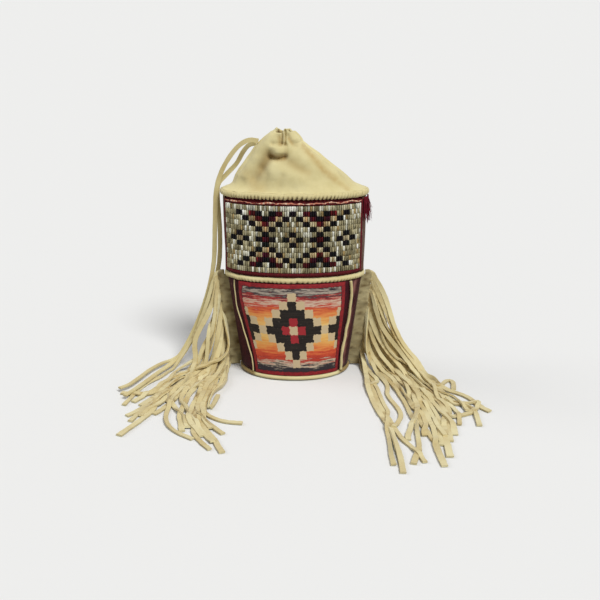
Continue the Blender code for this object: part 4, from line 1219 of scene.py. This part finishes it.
picture = {
    "topLeft": -0.0505,        # distances along the wall from the middle of the front
    "topRight": 0.0450,
    "bottomLeft": -0.0360,
    "bottomRight": 0.0400,
    "thickness": 0.0011,
    "columns": 120,
    "rows": 100,
    "pipingLeft": 0.0006,
    "pipingRight": 0.0013,
    "pipingSteps": 90,
    "pipingSides": 10,
    "bow": 0.0030,             # how far each piping bows away from the picture
    "bowHeight": 0.72,         # where it bows most, as a share of the picture's height
    "bowSpread": 0.32,
    "standoff": 0.0022,
}
pictureBottom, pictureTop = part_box("picture_panel")[0][2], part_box("picture_panel")[1][2]


def pictureEdge(top, bottom, height):
    return mix(bottom, top, ease((height - skirtLow[2]) / (skirtHigh[2] - skirtLow[2]) * 1.1))


def makePicture(material):
    columns, rows = picture["columns"], picture["rows"]

    def place(u, v, offset):
        lines = []
        for across, up, height in zip(u, v[:, 0], mix(pictureBottom, pictureTop, v[:, 0])):
            left = pictureEdge(picture["topLeft"], picture["bottomLeft"], height)
            right = pictureEdge(picture["topRight"], picture["bottomRight"], height)
            angle = angleAt(mix(left, right, across), height)
            ripple = 0.0
            if offset > band["panelGap"]:
                near = np.minimum(np.minimum(across, 1 - across) * 90, min(up, 1 - up) * 80)
                ripple = -0.0005 * np.exp(-near / 1.1) + 0.00015 * np.sin(14 * across + 9 * up)
            lines.append(wallPoint(angle, np.full(columns + 1, height), offset + ripple))
        return np.stack(lines, axis=0)

    thick = picture["thickness"]
    points, faces = patchGrid(place, columns, rows, band["panelGap"], band["panelGap"] + thick)
    made = addMesh("picturePanel", points, faces, material, uv=patchUV(columns, rows), sharp=60)
    finishPiece(made, "painted_leather", "picture_panel")


def makePiping(name, node, top, bottom, side, radius, seed, material):
    sides, steps = picture["pipingSides"], picture["pipingSteps"]
    rings = []
    for height in np.linspace(pictureBottom, pictureTop, steps):
        line = np.array([(height * 90, seed, 0.0)])
        arc = pictureEdge(top, bottom, height) + side * (picture["standoff"] + radius)
        share = (height - pictureBottom) / (pictureTop - pictureBottom)
        away = (share - picture["bowHeight"]) / picture["bowSpread"]
        arc = arc + side * picture["bow"] * math.exp(-away ** 2)
        arc = arc + 0.0009 * float(noiseAt(line, 1.0, seed)[0])
        local = radius * (1 + 0.22 * float(noiseAt(line, 2.0, seed + 2)[0]))
        angle = float(angleAt(arc, height))
        foot = wallPoint(angle, height, band["panelGap"] + radius)
        out = unit(wallPoint(angle, height, band["panelGap"] + 2 * radius) - foot)
        along = unit(np.array((-out[1], out[0], 0.0)))
        rings.append([foot + local * (math.cos(math.tau * number / sides) * out
                                      + math.sin(math.tau * number / sides) * along)
                      for number in range(sides)])
    made = addMesh(name, np.array(rings), ringFaces(steps, sides), material,
                   floats={"markAndShade": np.full(steps * sides, 0.25)})
    finishPiece(made, "buckskin", node)


# The fringes

fringe = {
    "headerBottom": 0.0012,
    "headerTopRise": 0.0015,   # above the middle of the waist's welt
    "headerWidth": 0.0078,
    "headerFootWidth": 0.0100,
    "headerThickness": 0.0022,
    "headerRows": 120,
    "headerSides": 20,
    "seamDepth": 0.0012,       # how far the strip's inner edge is caught in the cloth
    "topRounding": 0.0040,
    "topCut": 0.0026,
    "rootCover": 0.0013,       # the uncut edge that the thongs leave from
    "rootDepth": 0.0018,       # how far inside the strip's edge each thong starts
    "rootReach": 0.0030,       # the thong leaves the strip straight for this length, and drops a little
    "rootDrop": 0.0012,
    "rootTaper": (0.55, 0.75, 0.9),
    "lowestRoot": 0.0032,      # from the strip's foot, and below it from the strip's top
    "highestRoot": 0.0026,
    "thongWidth": 0.0041,
    "thongThickness": 0.0015,
    "twist": 0.80,
    "coverWay": (0.25, -0.70, 0.65),       # thongs are darker where others lie over them this way
    "coverShade": 0.62,
    "spacing": 0.0040,
    # How the thongs settle: rounds, and what happens to each point in a round
    "rounds": 150,
    "sink": 0.00012,
    "pull": 0.020,             # back towards its place on the route, and less in the last rounds
    "latePull": 0.008,
    "stiffness": 0.10,
    "longestMove": 0.0008,
    "bagGap": 0.0022,
    # Points that each thong runs through, in millimetres, from the strip's edge to its tip
    "left": (
        ((-68, 0, 90), (-78, 0, 74), (-86, -1, 51), (-96, -3, 32), (-104, -6, 20), (-114, -17, 8),
         (-120, -32, 3), (-132, -50, 3), (-144, -90, 3)),
        ((-67, 0, 83), (-72, -4, 71), (-79, -6, 58), (-89, -8, 45), (-93, -10, 34), (-89, -13, 24),
         (-90, -20, 16), (-98, -39, 6), (-110, -60, 4), (-121, -108, 3), (-139, -147, 3)),
        ((-63, 0, 44), (-57, -9, 34), (-60, -16, 25), (-77, -20, 19), (-98, -24, 11), (-111, -33, 7),
         (-116, -57, 4), (-129, -72, 3), (-149, -66, 3)),
        ((-66, 0, 70), (-72, -5, 53), (-78, -9, 44), (-79, -12, 33), (-79, -17, 22), (-84, -26, 8),
         (-98, -40, 5), (-113, -66, 4), (-132, -106, 3), (-138, -111, 3)),
        ((-65, 0, 54), (-77, -7, 35), (-81, -12, 23), (-94, -14, 18), (-109, -18, 12), (-109, -33, 7),
         (-120, -57, 4), (-137, -84, 3)),
        ((-63, 0, 37), (-73, -9, 26), (-76, -16, 17), (-82, -28, 7), (-91, -46, 5), (-101, -72, 3),
         (-108, -98, 3), (-116, -108, 3)),
        ((-62, 0, 27), (-69, -10, 18), (-75, -22, 7), (-80, -48, 6), (-82, -95, 3), (-82, -130, 3),
         (-75, -156, 3), (-65, -171, 3)),
        ((-62, 0, 21), (-65, -12, 12), (-67, -34, 4), (-77, -34, 9), (-81, -62, 6), (-80, -98, 4),
         (-70, -140, 3), (-55, -176, 3)),
        ((-61, 0, 17), (-63, -12, 9), (-64, -50, 4), (-75, -57, 5), (-86, -52, 8), (-97, -66, 8),
         (-97, -81, 5), (-86, -108, 3), (-77, -133, 3), (-62, -160, 3)),
        ((-61, 0, 12), (-70, -18, 7), (-81, -47, 8), (-92, -62, 6), (-106, -60, 5), (-110, -76, 3),
         (-95, -106, 3), (-83, -133, 3)),
        ((-62, 0, 32), (-73, -16, 15), (-87, -37, 10), (-102, -62, 6), (-106, -95, 3), (-106, -118, 3),
         (-99, -137, 3), (-80, -153, 3)),
        ((-60, 0, 9), (-69, -30, 4), (-75, -73, 5), (-77, -103, 3), (-67, -116, 3), (-56, -124, 3),
         (-43, -125, 3)),
        ((-61, 0, 14), (-73, -44, 8), (-81, -84, 6), (-80, -108, 3), (-71, -128, 3), (-57, -144, 3)),
        ((-60, 0, 8), (-63, -50, 4), (-73, -72, 3), (-73, -100, 3), (-68, -88, 5), (-66, -72, 3)),
        ((-66, 0, 74), (-70, -5, 60), (-74, -8, 46), (-82, -11, 30), (-90, -18, 15), (-97, -34, 6),
         (-108, -64, 4), (-124, -96, 3), (-134, -122, 3)),
        ((-65, 0, 62), (-70, -6, 48), (-74, -11, 34), (-80, -15, 21), (-90, -24, 10), (-100, -50, 5),
         (-112, -84, 3), (-128, -112, 3)),
        ((-64, 0, 49), (-68, -6, 38), (-72, -13, 26), (-78, -22, 13), (-84, -40, 6), (-92, -74, 4),
         (-94, -110, 3), (-90, -140, 3)),
        ((-63, 0, 41), (-68, -7, 30), (-72, -15, 18), (-76, -30, 8), (-78, -60, 5), (-84, -96, 3),
         (-86, -124, 3), (-74, -150, 3)),
        ((-62, 0, 24), (-68, -14, 13), (-72, -36, 6), (-74, -66, 5), (-78, -90, 4), (-76, -118, 3),
         (-66, -136, 3)),
        ((-64, 0, 58), (-72, -6, 44), (-80, -9, 30), (-90, -14, 17), (-101, -26, 8), (-110, -48, 5),
         (-118, -78, 3), (-128, -92, 3)),
    ),
    "right": (
        ((72, 0, 91), (80, -3, 85), (85, -6, 73), (87, -10, 57), (100, -18, 33), (114, -28, 18),
         (121, -38, 8), (131, -59, 6), (149, -73, 3), (155, -96, 3), (162, -102, 3)),
        ((69, 0, 72), (78, -6, 55), (80, -12, 36), (94, -20, 25), (109, -28, 18), (119, -52, 10),
         (123, -74, 6), (130, -105, 3), (124, -131, 3), (122, -157, 3)),
        ((66, 0, 50), (64, -5, 28), (67, -11, 16), (79, -22, 10), (95, -34, 8), (100, -60, 8),
         (103, -90, 4), (103, -124, 3), (108, -149, 3), (111, -162, 3)),
        ((68, 0, 58), (79, -8, 42), (89, -14, 30), (101, -22, 21), (112, -38, 10), (117, -68, 6),
         (127, -93, 3), (121, -131, 3), (119, -183, 3)),
        ((65, 0, 34), (85, -14, 21), (99, -28, 12), (109, -57, 8), (111, -84, 4), (118, -110, 3),
         (117, -137, 3), (114, -164, 3)),
        ((64, 0, 23), (82, -16, 14), (96, -38, 7), (102, -77, 6), (103, -107, 4), (93, -139, 3),
         (86, -154, 3)),
        ((63, 0, 16), (82, -28, 8), (91, -66, 8), (95, -99, 3), (98, -137, 3), (97, -169, 3),
         (90, -194, 3)),
        ((62, 0, 10), (67, -40, 6), (71, -82, 3), (77, -118, 3), (85, -152, 3), (93, -169, 3),
         (99, -192, 3)),
        ((62, 0, 14), (65, -40, 8), (67, -85, 3), (74, -113, 3), (78, -149, 3), (81, -182, 3),
         (81, -208, 3)),
        ((62, 0, 8), (70, -50, 4), (76, -110, 3), (75, -152, 3), (74, -178, 3), (75, -196, 3)),
        ((62, 0, 19), (74, -24, 10), (83, -52, 6), (79, -69, 4), (89, -105, 3), (86, -121, 3),
         (79, -134, 3)),
        ((69, 0, 77), (80, -7, 55), (88, -11, 41), (104, -18, 24), (117, -32, 10), (124, -54, 8),
         (137, -38, 5), (141, -47, 3), (138, -58, 3)),
        ((68, 0, 64), (83, -10, 42), (97, -17, 26), (112, -32, 13), (122, -52, 6), (135, -84, 4),
         (149, -93, 3), (150, -118, 3), (150, -129, 3)),
        ((64, 0, 28), (86, -18, 16), (102, -52, 10), (109, -101, 4), (113, -131, 3), (110, -162, 3),
         (113, -198, 3)),
        ((62, 0, 12), (68, -34, 7), (75, -43, 5), (64, -52, 3)),
        ((66, 0, 44), (86, -13, 28), (102, -27, 15), (118, -65, 6), (135, -90, 4), (156, -85, 3),
         (149, -105, 3), (129, -113, 3)),
        ((71, 0, 86), (79, -5, 76), (84, -8, 60), (91, -13, 42), (105, -24, 23), (117, -42, 10),
         (126, -66, 6), (140, -84, 4), (146, -104, 3)),
        ((67, 0, 54), (74, -7, 40), (84, -14, 28), (96, -24, 18), (107, -40, 9), (112, -70, 6),
         (121, -96, 4), (126, -118, 3), (128, -146, 3)),
        ((65, 0, 39), (74, -9, 27), (86, -19, 16), (97, -36, 9), (104, -62, 6), (112, -92, 4),
         (114, -124, 3), (120, -150, 3)),
        ((63, 0, 26), (72, -12, 16), (84, -30, 9), (90, -58, 6), (98, -88, 4), (106, -118, 3),
         (104, -148, 3)),
        ((68, 0, 68), (75, -6, 52), (84, -11, 40), (98, -19, 27), (110, -32, 15), (118, -58, 7),
         (126, -80, 4), (136, -104, 3), (134, -128, 3)),
    ),
}
headerTop = waistHeight + fringe["headerTopRise"]


def headerEdge(height):
    low = fringe["headerBottom"]
    edgeLow = float(wallHalf(low)[0]) + fringe["headerFootWidth"]
    edgeHigh = waistHalf[0] + fringe["headerWidth"] + gap
    return mix(edgeLow, edgeHigh, (height - low) / (headerTop - low))


def bagPush(points, clearance):
    halfWidth, halfDepth = wallHalf(points[:, 2])
    level = ((np.abs(points[:, 0]) / (halfWidth + clearance)) ** ovalPower
             + (np.abs(points[:, 1]) / (halfDepth + clearance)) ** ovalPower)
    grow = np.where(level < 1, np.maximum(level, 0.05) ** (-1 / ovalPower), 1.0)
    points[:, :2] *= np.minimum(grow, 1.08)[:, None]


def thongsTouching(spots, owner, order):
    thick, wide = fringe["thongThickness"], fringe["thongWidth"]
    flat, height = spots[:, :2], spots[:, 2]
    near = np.sum((flat[:, None] - flat[None]) ** 2, axis=-1) < (wide * 0.95) ** 2
    near &= np.abs(height[:, None] - height[None, :]) < 2.2 * thick
    same = owner[:, None] == owner[None]
    near &= ~(same & (np.abs(order[:, None] - order[None]) < 4))
    return np.nonzero(np.triu(near, 1))


def settleThongs(paths):
    # Lets the thongs sink onto the floor and onto each other, with their lengths and roots kept
    counts = [len(path) for path in paths]
    owner = np.repeat(np.arange(len(paths)), counts)
    order = np.concatenate([np.arange(count) for count in counts])
    spots = np.concatenate(paths)
    aim = spots.copy()
    fixed = order < 2
    first = np.nonzero(owner[1:] == owner[:-1])[0]
    second = first + 1
    inner = np.nonzero(owner[2:] == owner[:-2])[0] + 1
    lengths = np.linalg.norm(spots[second] - spots[first], axis=1)
    thick = fringe["thongThickness"]
    for turn in range(fringe["rounds"]):
        spots[:, 2] -= fringe["sink"]
        pull = fringe["pull"] if turn < fringe["rounds"] * 0.7 else fringe["latePull"]
        spots += (aim - spots) * np.array((pull, pull, pull * 0.6))
        if turn % 3 == 0:
            upper, lower = thongsTouching(spots, owner, order)
        rise = spots[upper, 2] - spots[lower, 2]
        bias = np.where(owner[upper] > owner[lower], 1.0, -1.0)
        way = np.where(np.abs(rise) > 0.0004, np.sign(rise), bias)
        lack = np.maximum(thick * 1.08 - np.abs(rise), 0) * 0.30
        apart = spots[upper, :2] - spots[lower, :2]
        size = np.linalg.norm(apart, axis=1, keepdims=True) + 1e-6
        sideways = apart / size * (lack * 0.35)[:, None]
        move = np.zeros_like(spots)
        np.add.at(move, upper, np.column_stack((sideways, way * lack)))
        np.add.at(move, lower, np.column_stack((-sideways, -way * lack)))
        spots += np.clip(move, -fringe["longestMove"], fringe["longestMove"])
        bend = (spots[inner - 1] + spots[inner + 1]) / 2 - spots[inner]
        spots[inner] += fringe["stiffness"] * bend
        for _ in range(2):
            gapWay = spots[second] - spots[first]
            size = np.linalg.norm(gapWay, axis=1)
            fix = gapWay * ((size - lengths) / size * 0.45)[:, None]
            np.add.at(spots, first, fix)
            np.add.at(spots, second, -fix)
        bagPush(spots, fringe["bagGap"])
        spots[:, 2] = np.maximum(spots[:, 2], thick / 2 + gap)
        spots[fixed] = aim[fixed]
    return [spots[owner == number] for number in range(len(paths))]


def thongRoutes(side, routes):
    # Roots are spread evenly over the strip, in the order of the routes' own heights
    low, high = fringe["headerBottom"] + fringe["lowestRoot"], headerTop - fringe["highestRoot"]
    ranks = np.argsort(np.argsort([route[0][2] for route in routes])) / (len(routes) - 1)
    paths = []
    for rank, route in zip(ranks, routes):
        height = mix(low, high, rank)
        edge = headerEdge(height)
        root = (side * (edge - fringe["rootDepth"]), 0, height)
        stub = (side * (edge + fringe["rootReach"]), -0.0004, height - fringe["rootDrop"])
        points = np.vstack((root, stub, np.array(route[1:], dtype=float) * mm))
        paths.append(smoothRoute(points, fringe["spacing"]))
    return paths


def thongTwist(ahead, ways, normal, height, rng):
    # Each thong leaves the strip on edge, and turns over at a place or two on its way
    up = np.array((0, 0, 1.0))
    rootAngle = math.atan2(float(np.dot(normal[0], up)), float(np.dot(ways[0], up)))
    if rootAngle > math.pi / 2:
        rootAngle -= math.pi
    if rootAngle < -math.pi / 2:
        rootAngle += math.pi
    share = np.linspace(0, 1, len(ahead))
    twist = rootAngle * (1 - ease(share / 0.42))
    for _ in range(2):
        spot, amount = rng.uniform(0.25, 0.9), rng.normal(0, fringe["twist"])
        twist = twist + amount * np.exp(-((share - spot) / 0.10) ** 2)
    return share, np.where(height < 0.012, twist * 0.8, twist)


def thongRings(path, rng):
    ahead = tangents(path)
    ways = [unit(np.cross(ahead[-1], (0, 0, 1.0)))]
    for here in ahead[-2::-1]:
        way = ways[-1] - here * np.dot(ways[-1], here)
        ways.append(way / max(np.linalg.norm(way), 1e-9))
    ways = np.array(ways[::-1])
    normal = np.cross(ahead, ways)
    share, twist = thongTwist(ahead, ways, normal, path[:, 2], rng)
    widthWay = ways * np.cos(twist)[:, None] + normal * np.sin(twist)[:, None]
    width = fringe["thongWidth"] * rng.uniform(0.82, 1.16)
    width = width * (1 + 0.14 * noiseAt(path, 70, rng.uniform(0, 40)))
    width = width * mix(1.0, rng.uniform(0.95, 1.3), ease((share - 0.8) / 0.2))
    thickness = fringe["thongThickness"] * rng.uniform(0.85, 1.15) * np.ones(len(path))
    thickness[:3] *= fringe["rootTaper"]
    reach = np.abs(widthWay[:, 2]) * width / 2 + thickness / 2
    path = path.copy()
    path[:, 2] = np.maximum(path[:, 2], reach + 0.0002)
    rings = stripRings(path, widthWay, width, thickness)
    rough = noiseAt(rings.reshape(-1, 3), 420, 3.0).reshape(len(path), -1)
    edge = np.array([1.0 if abs(wide) > 0.9 else 0.35 for wide, _ in stripSection])
    return rings + (rings - path[:, None, :]) * (rough * edge * 0.16)[..., None]


def coverShare(path, others):
    way = np.array(fringe["coverWay"]) / np.linalg.norm(fringe["coverWay"])
    apart = others[None] - path[:, None]
    along = apart @ way
    across = np.linalg.norm(apart - along[..., None] * way, axis=-1)
    over = (along > 0.0010) & (along < 0.016) & (across < fringe["thongWidth"] * 0.8)
    return fringe["coverShade"] * ease(np.sum(over, axis=1) / 3)


def makeThongs(name, node, side, routes, seed, material):
    rng = np.random.default_rng(seed)
    paths = settleThongs(thongRoutes(side, routes))
    spots = np.concatenate(paths)
    owner = np.repeat(np.arange(len(paths)), [len(path) for path in paths])
    # Painted shade: a thong's side edges and underside are darker, and so is where other thongs lie over it
    edge = np.array([1.0 if abs(wide) > 0.94 else 0.0 for wide, _ in stripSection])
    below = np.array([0.25 if tall < 0 else 0.0 for _, tall in stripSection])
    points, faces, markAndShade, crease = [], [], [], []
    for number, path in enumerate(paths):
        path = smoothRoute(path, fringe["spacing"] * 0.6)
        covered = coverShare(path, spots[owner != number])
        rings = thongRings(path, rng)
        faces += ringFaces(len(rings), len(stripSection), first=len(points))
        points += list(rings.reshape(-1, 3))
        tone = rng.uniform(-0.05, 0.22)
        line = noiseAt(path, 50, rng.uniform(0, 30))
        markAndShade += list(np.clip(tone + 0.5 * line[:, None] + 0.22 * edge + below, 0, 1).ravel())
        crease += list(np.clip(0.26 * edge + 1.2 * below + covered[:, None], 0, 1).ravel())
    made = addMesh(name, np.array(points), faces, material, floats={"markAndShade": markAndShade, "crease": crease},
                   sharp=55)
    finishPiece(made, "buckskin", node)


def makeStrip(name, node, side, material):
    rows, sides = fringe["headerRows"], fringe["headerSides"]
    rings = []
    for height in np.linspace(fringe["headerBottom"], headerTop, rows):
        inner = float(wallHalf(height)[0]) - fringe["seamDepth"]
        if height < skirtLow[2]:
            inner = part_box("base_welt")[1][0] + gap
        if height > waistHeight - waistRadius - gap:
            inner = waistHalf[0] - clothThickness + 2 * waistRadius + gap
        rounding = max(0.0, 1 - (headerTop - height) / fringe["topRounding"])
        cut = fringe["topCut"] * (1 - math.sqrt(max(1 - rounding ** 2, 0.0)))
        outer = headerEdge(height) + fringe["rootCover"] - cut
        middle, half = (inner + outer) / 2, (outer - inner) / 2
        ring = []
        for number in range(sides):
            turn = math.tau * number / sides
            tall = blunt(math.sin(turn), 0.45) * fringe["headerThickness"] / 2
            ring.append((side * (middle + half * blunt(math.cos(turn), 0.45)), tall, height))
        rings.append(ring)
    flat = np.array(rings).reshape(-1, 3)
    rough = noiseAt(flat, 260, 4.0) * 0.00080 + noiseAt(flat, 700, 9.0) * 0.00035
    flat[:, 1] += np.sign(flat[:, 1]) * rough
    flat[:, 0] += side * 0.6 * rough * (np.abs(flat[:, 0]) > np.abs(flat[:, 0]).mean())
    strip = addMesh(name, flat, ringFaces(rows, sides), material,
                    floats={"markAndShade": np.clip(0.12 + 1.5 * noiseAt(flat, 110, 2.0), 0, 1),
                            "crease": np.clip(2.2 * noiseAt(flat, 260, 6.0) - 0.25, 0, 0.8)})
    finishPiece(strip, "suede", node)


# The base

base = {
    "around": 200,
    "edgeRounding": 0.0006,
    "edgeHeight": 0.0004,
    "weltSteps": 420,
    "weltSides": 14,
    "darkenOver": 0.004,         # the welt is pale under the picture, and turns darker over this length
}


def makeBasePanel(material):
    around, inset, edge = base["around"], base["edgeRounding"], base["edgeHeight"]
    angles = np.linspace(0, math.tau, around, endpoint=False)
    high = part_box("base_panel")[1]
    rings = []
    for height, inward in ((0.0, inset), (edge, 0.0), (high[2] - edge, 0.0), (high[2], inset)):
        x, y = ovalXY(high[0] - inward, high[1] - inward, angles)
        rings.append(np.stack((x, y, np.full(around, height)), axis=1))
    made = addMesh("basePanel", np.array(rings), ringFaces(len(rings), around), material)
    finishPiece(made, "suede", "base_panel")


def makeBaseWelt(material):
    low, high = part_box("base_welt")
    radius = (high[2] - low[2]) / 2
    sides, steps = base["weltSides"], base["weltSteps"]
    angles = np.linspace(0, math.tau, steps, endpoint=False)
    local = radius * (1 + 0.07 * noiseAt(circle(angles), 14, 2.0))
    rings = []
    for number in range(sides):
        turn = math.tau * number / sides
        bulge = local * math.cos(turn)
        x, y = ovalXY(high[0] - radius + bulge, high[1] - radius + bulge, angles)
        rings.append(np.stack((x, y, low[2] + radius + local * math.sin(turn)), axis=1))
    x, y = ovalXY(high[0], high[1], angles)
    # The welt is painted darker away from under the picture, and all round the back
    aside = np.maximum((x - picture["bottomRight"]) / base["darkenOver"],
                       (picture["bottomLeft"] - x) / base["darkenOver"])
    darkened = np.where(y < 0, ease(aside + 0.5), 1.0)
    made = addMesh("baseWelt", np.stack(rings, axis=1), ringFaces(steps, sides, loop=True), material,
                   floats={"crease": np.repeat(darkened, sides)})
    finishPiece(made, "buckskin", "base_welt")


# Putting it together

makeStudio()
repeatNodes = repeatTree()
buckskin = hideMaterial("buckskinHide", pale=(0.78, 0.70, 0.39), deep=(0.63, 0.54, 0.26),
                        markAndShade=(0.44, 0.27, 0.07), roughness=0.88, nap=0.55)
thongHide = hideMaterial("thongHide", pale=(0.96, 0.90, 0.57), deep=(0.84, 0.76, 0.43),
                         markAndShade=(0.52, 0.37, 0.12), roughness=0.86, nap=0.50)
roughSuede = hideMaterial("roughSuede", pale=(0.52, 0.45, 0.25), deep=(0.29, 0.23, 0.11),
                          markAndShade=(0.17, 0.12, 0.045), roughness=0.95, nap=0.9, fuzz=0.3)
maroonCloth = clothMaterial("maroonCloth", deep=(0.050, 0.003, 0.006), bright=(0.190, 0.010, 0.017),
                            glint=(0.46, 0.10, 0.11), glintLevel=0.66)
frayCloth = clothMaterial("frayCloth", deep=(0.080, 0.003, 0.010), bright=(0.250, 0.012, 0.028),
                          glint=(0.46, 0.15, 0.15), glintLevel=0.62)
darkBrocade = clothMaterial("darkBrocade", deep=(0.020, 0.004, 0.006), bright=(0.085, 0.010, 0.018),
                            glint=(0.30, 0.13, 0.11), glintLevel=0.65)
brightEdge = clothMaterial("pinkSelvage", deep=(0.45, 0.11, 0.08), bright=(0.78, 0.36, 0.22),
                           glint=(0.84, 0.62, 0.46), glintLevel=0.52)
ribbonCloth = clothMaterial("ribbonCloth", deep=(0.045, 0.012, 0.010), bright=(0.20, 0.12, 0.07),
                            glint=(0.60, 0.50, 0.38), glintLevel=0.60)
beadGlass = beadMaterial()
print("studio and materials made")

makeLace("laceOuter", lace["outer"], "drawstring_outer", 1.0, buckskin)
makeLace("laceInner", lace["inner"], "drawstring_inner", 7.0, buckskin)
print("laces made")
makeHood(buckskin)
makeWelt("rimWelt", "rim_welt", rimHeight, rimRadius, welts["rim"], buckskin)
makeStitches("rimStitches", rimHeight, rimRadius, welts["rim"], buckskin)
makeWelt("waistWelt", "waist_welt", waistHeight, waistRadius, welts["waist"], buckskin)
makeBasePanel(roughSuede)
makeBaseWelt(buckskin)
print("hood, welts and base made")

makeTube("skirtCloth", "skirt_cloth", skirtLow[2], skirtHigh[2], darkBrocade, wear=0.9)
makeTube("bandCloth", "band_cloth", bandLow[2], bandHigh[2], maroonCloth)
for label, middle, shift, seed in (("Front", 0.0, band["frontShift"], 21), ("Back", math.pi, 0.0, 22)):
    node = label.lower()
    makeBeads("beads" + label, "bead_panel_" + node, middle, shift, seed, beadGlass, ribbonCloth)
    makeBinding("binding" + label, "panel_binding_" + node, middle, shift, 3.0 + seed, maroonCloth)
    makeSelvage("selvage" + label, middle, shift, 2.0 + seed, brightEdge)
makeRibbon("ribbonLeft", "band_ribbon_left", -1, ribbonCloth)
makeRibbon("ribbonRight", "band_ribbon_right", 1, ribbonCloth)
makeFray(frayCloth)
print("band made")

makePicture(paintMaterial())
makePiping("pipingLeft", "picture_piping_left", picture["topLeft"], picture["bottomLeft"], -1,
           picture["pipingLeft"], 3.0, buckskin)
makePiping("pipingRight", "picture_piping_right", picture["topRight"], picture["bottomRight"], 1,
           picture["pipingRight"], 5.0, buckskin)
print("picture made")

for label, side, seed in (("Left", -1, 5), ("Right", 1, 6)):
    key = label.lower()
    makeThongs("fringeThongs" + label, "fringe_" + key, side, fringe[key], seed, thongHide)
    makeStrip("fringeStrip" + label, "fringe_" + key, side, roughSuede)
print("fringes made")
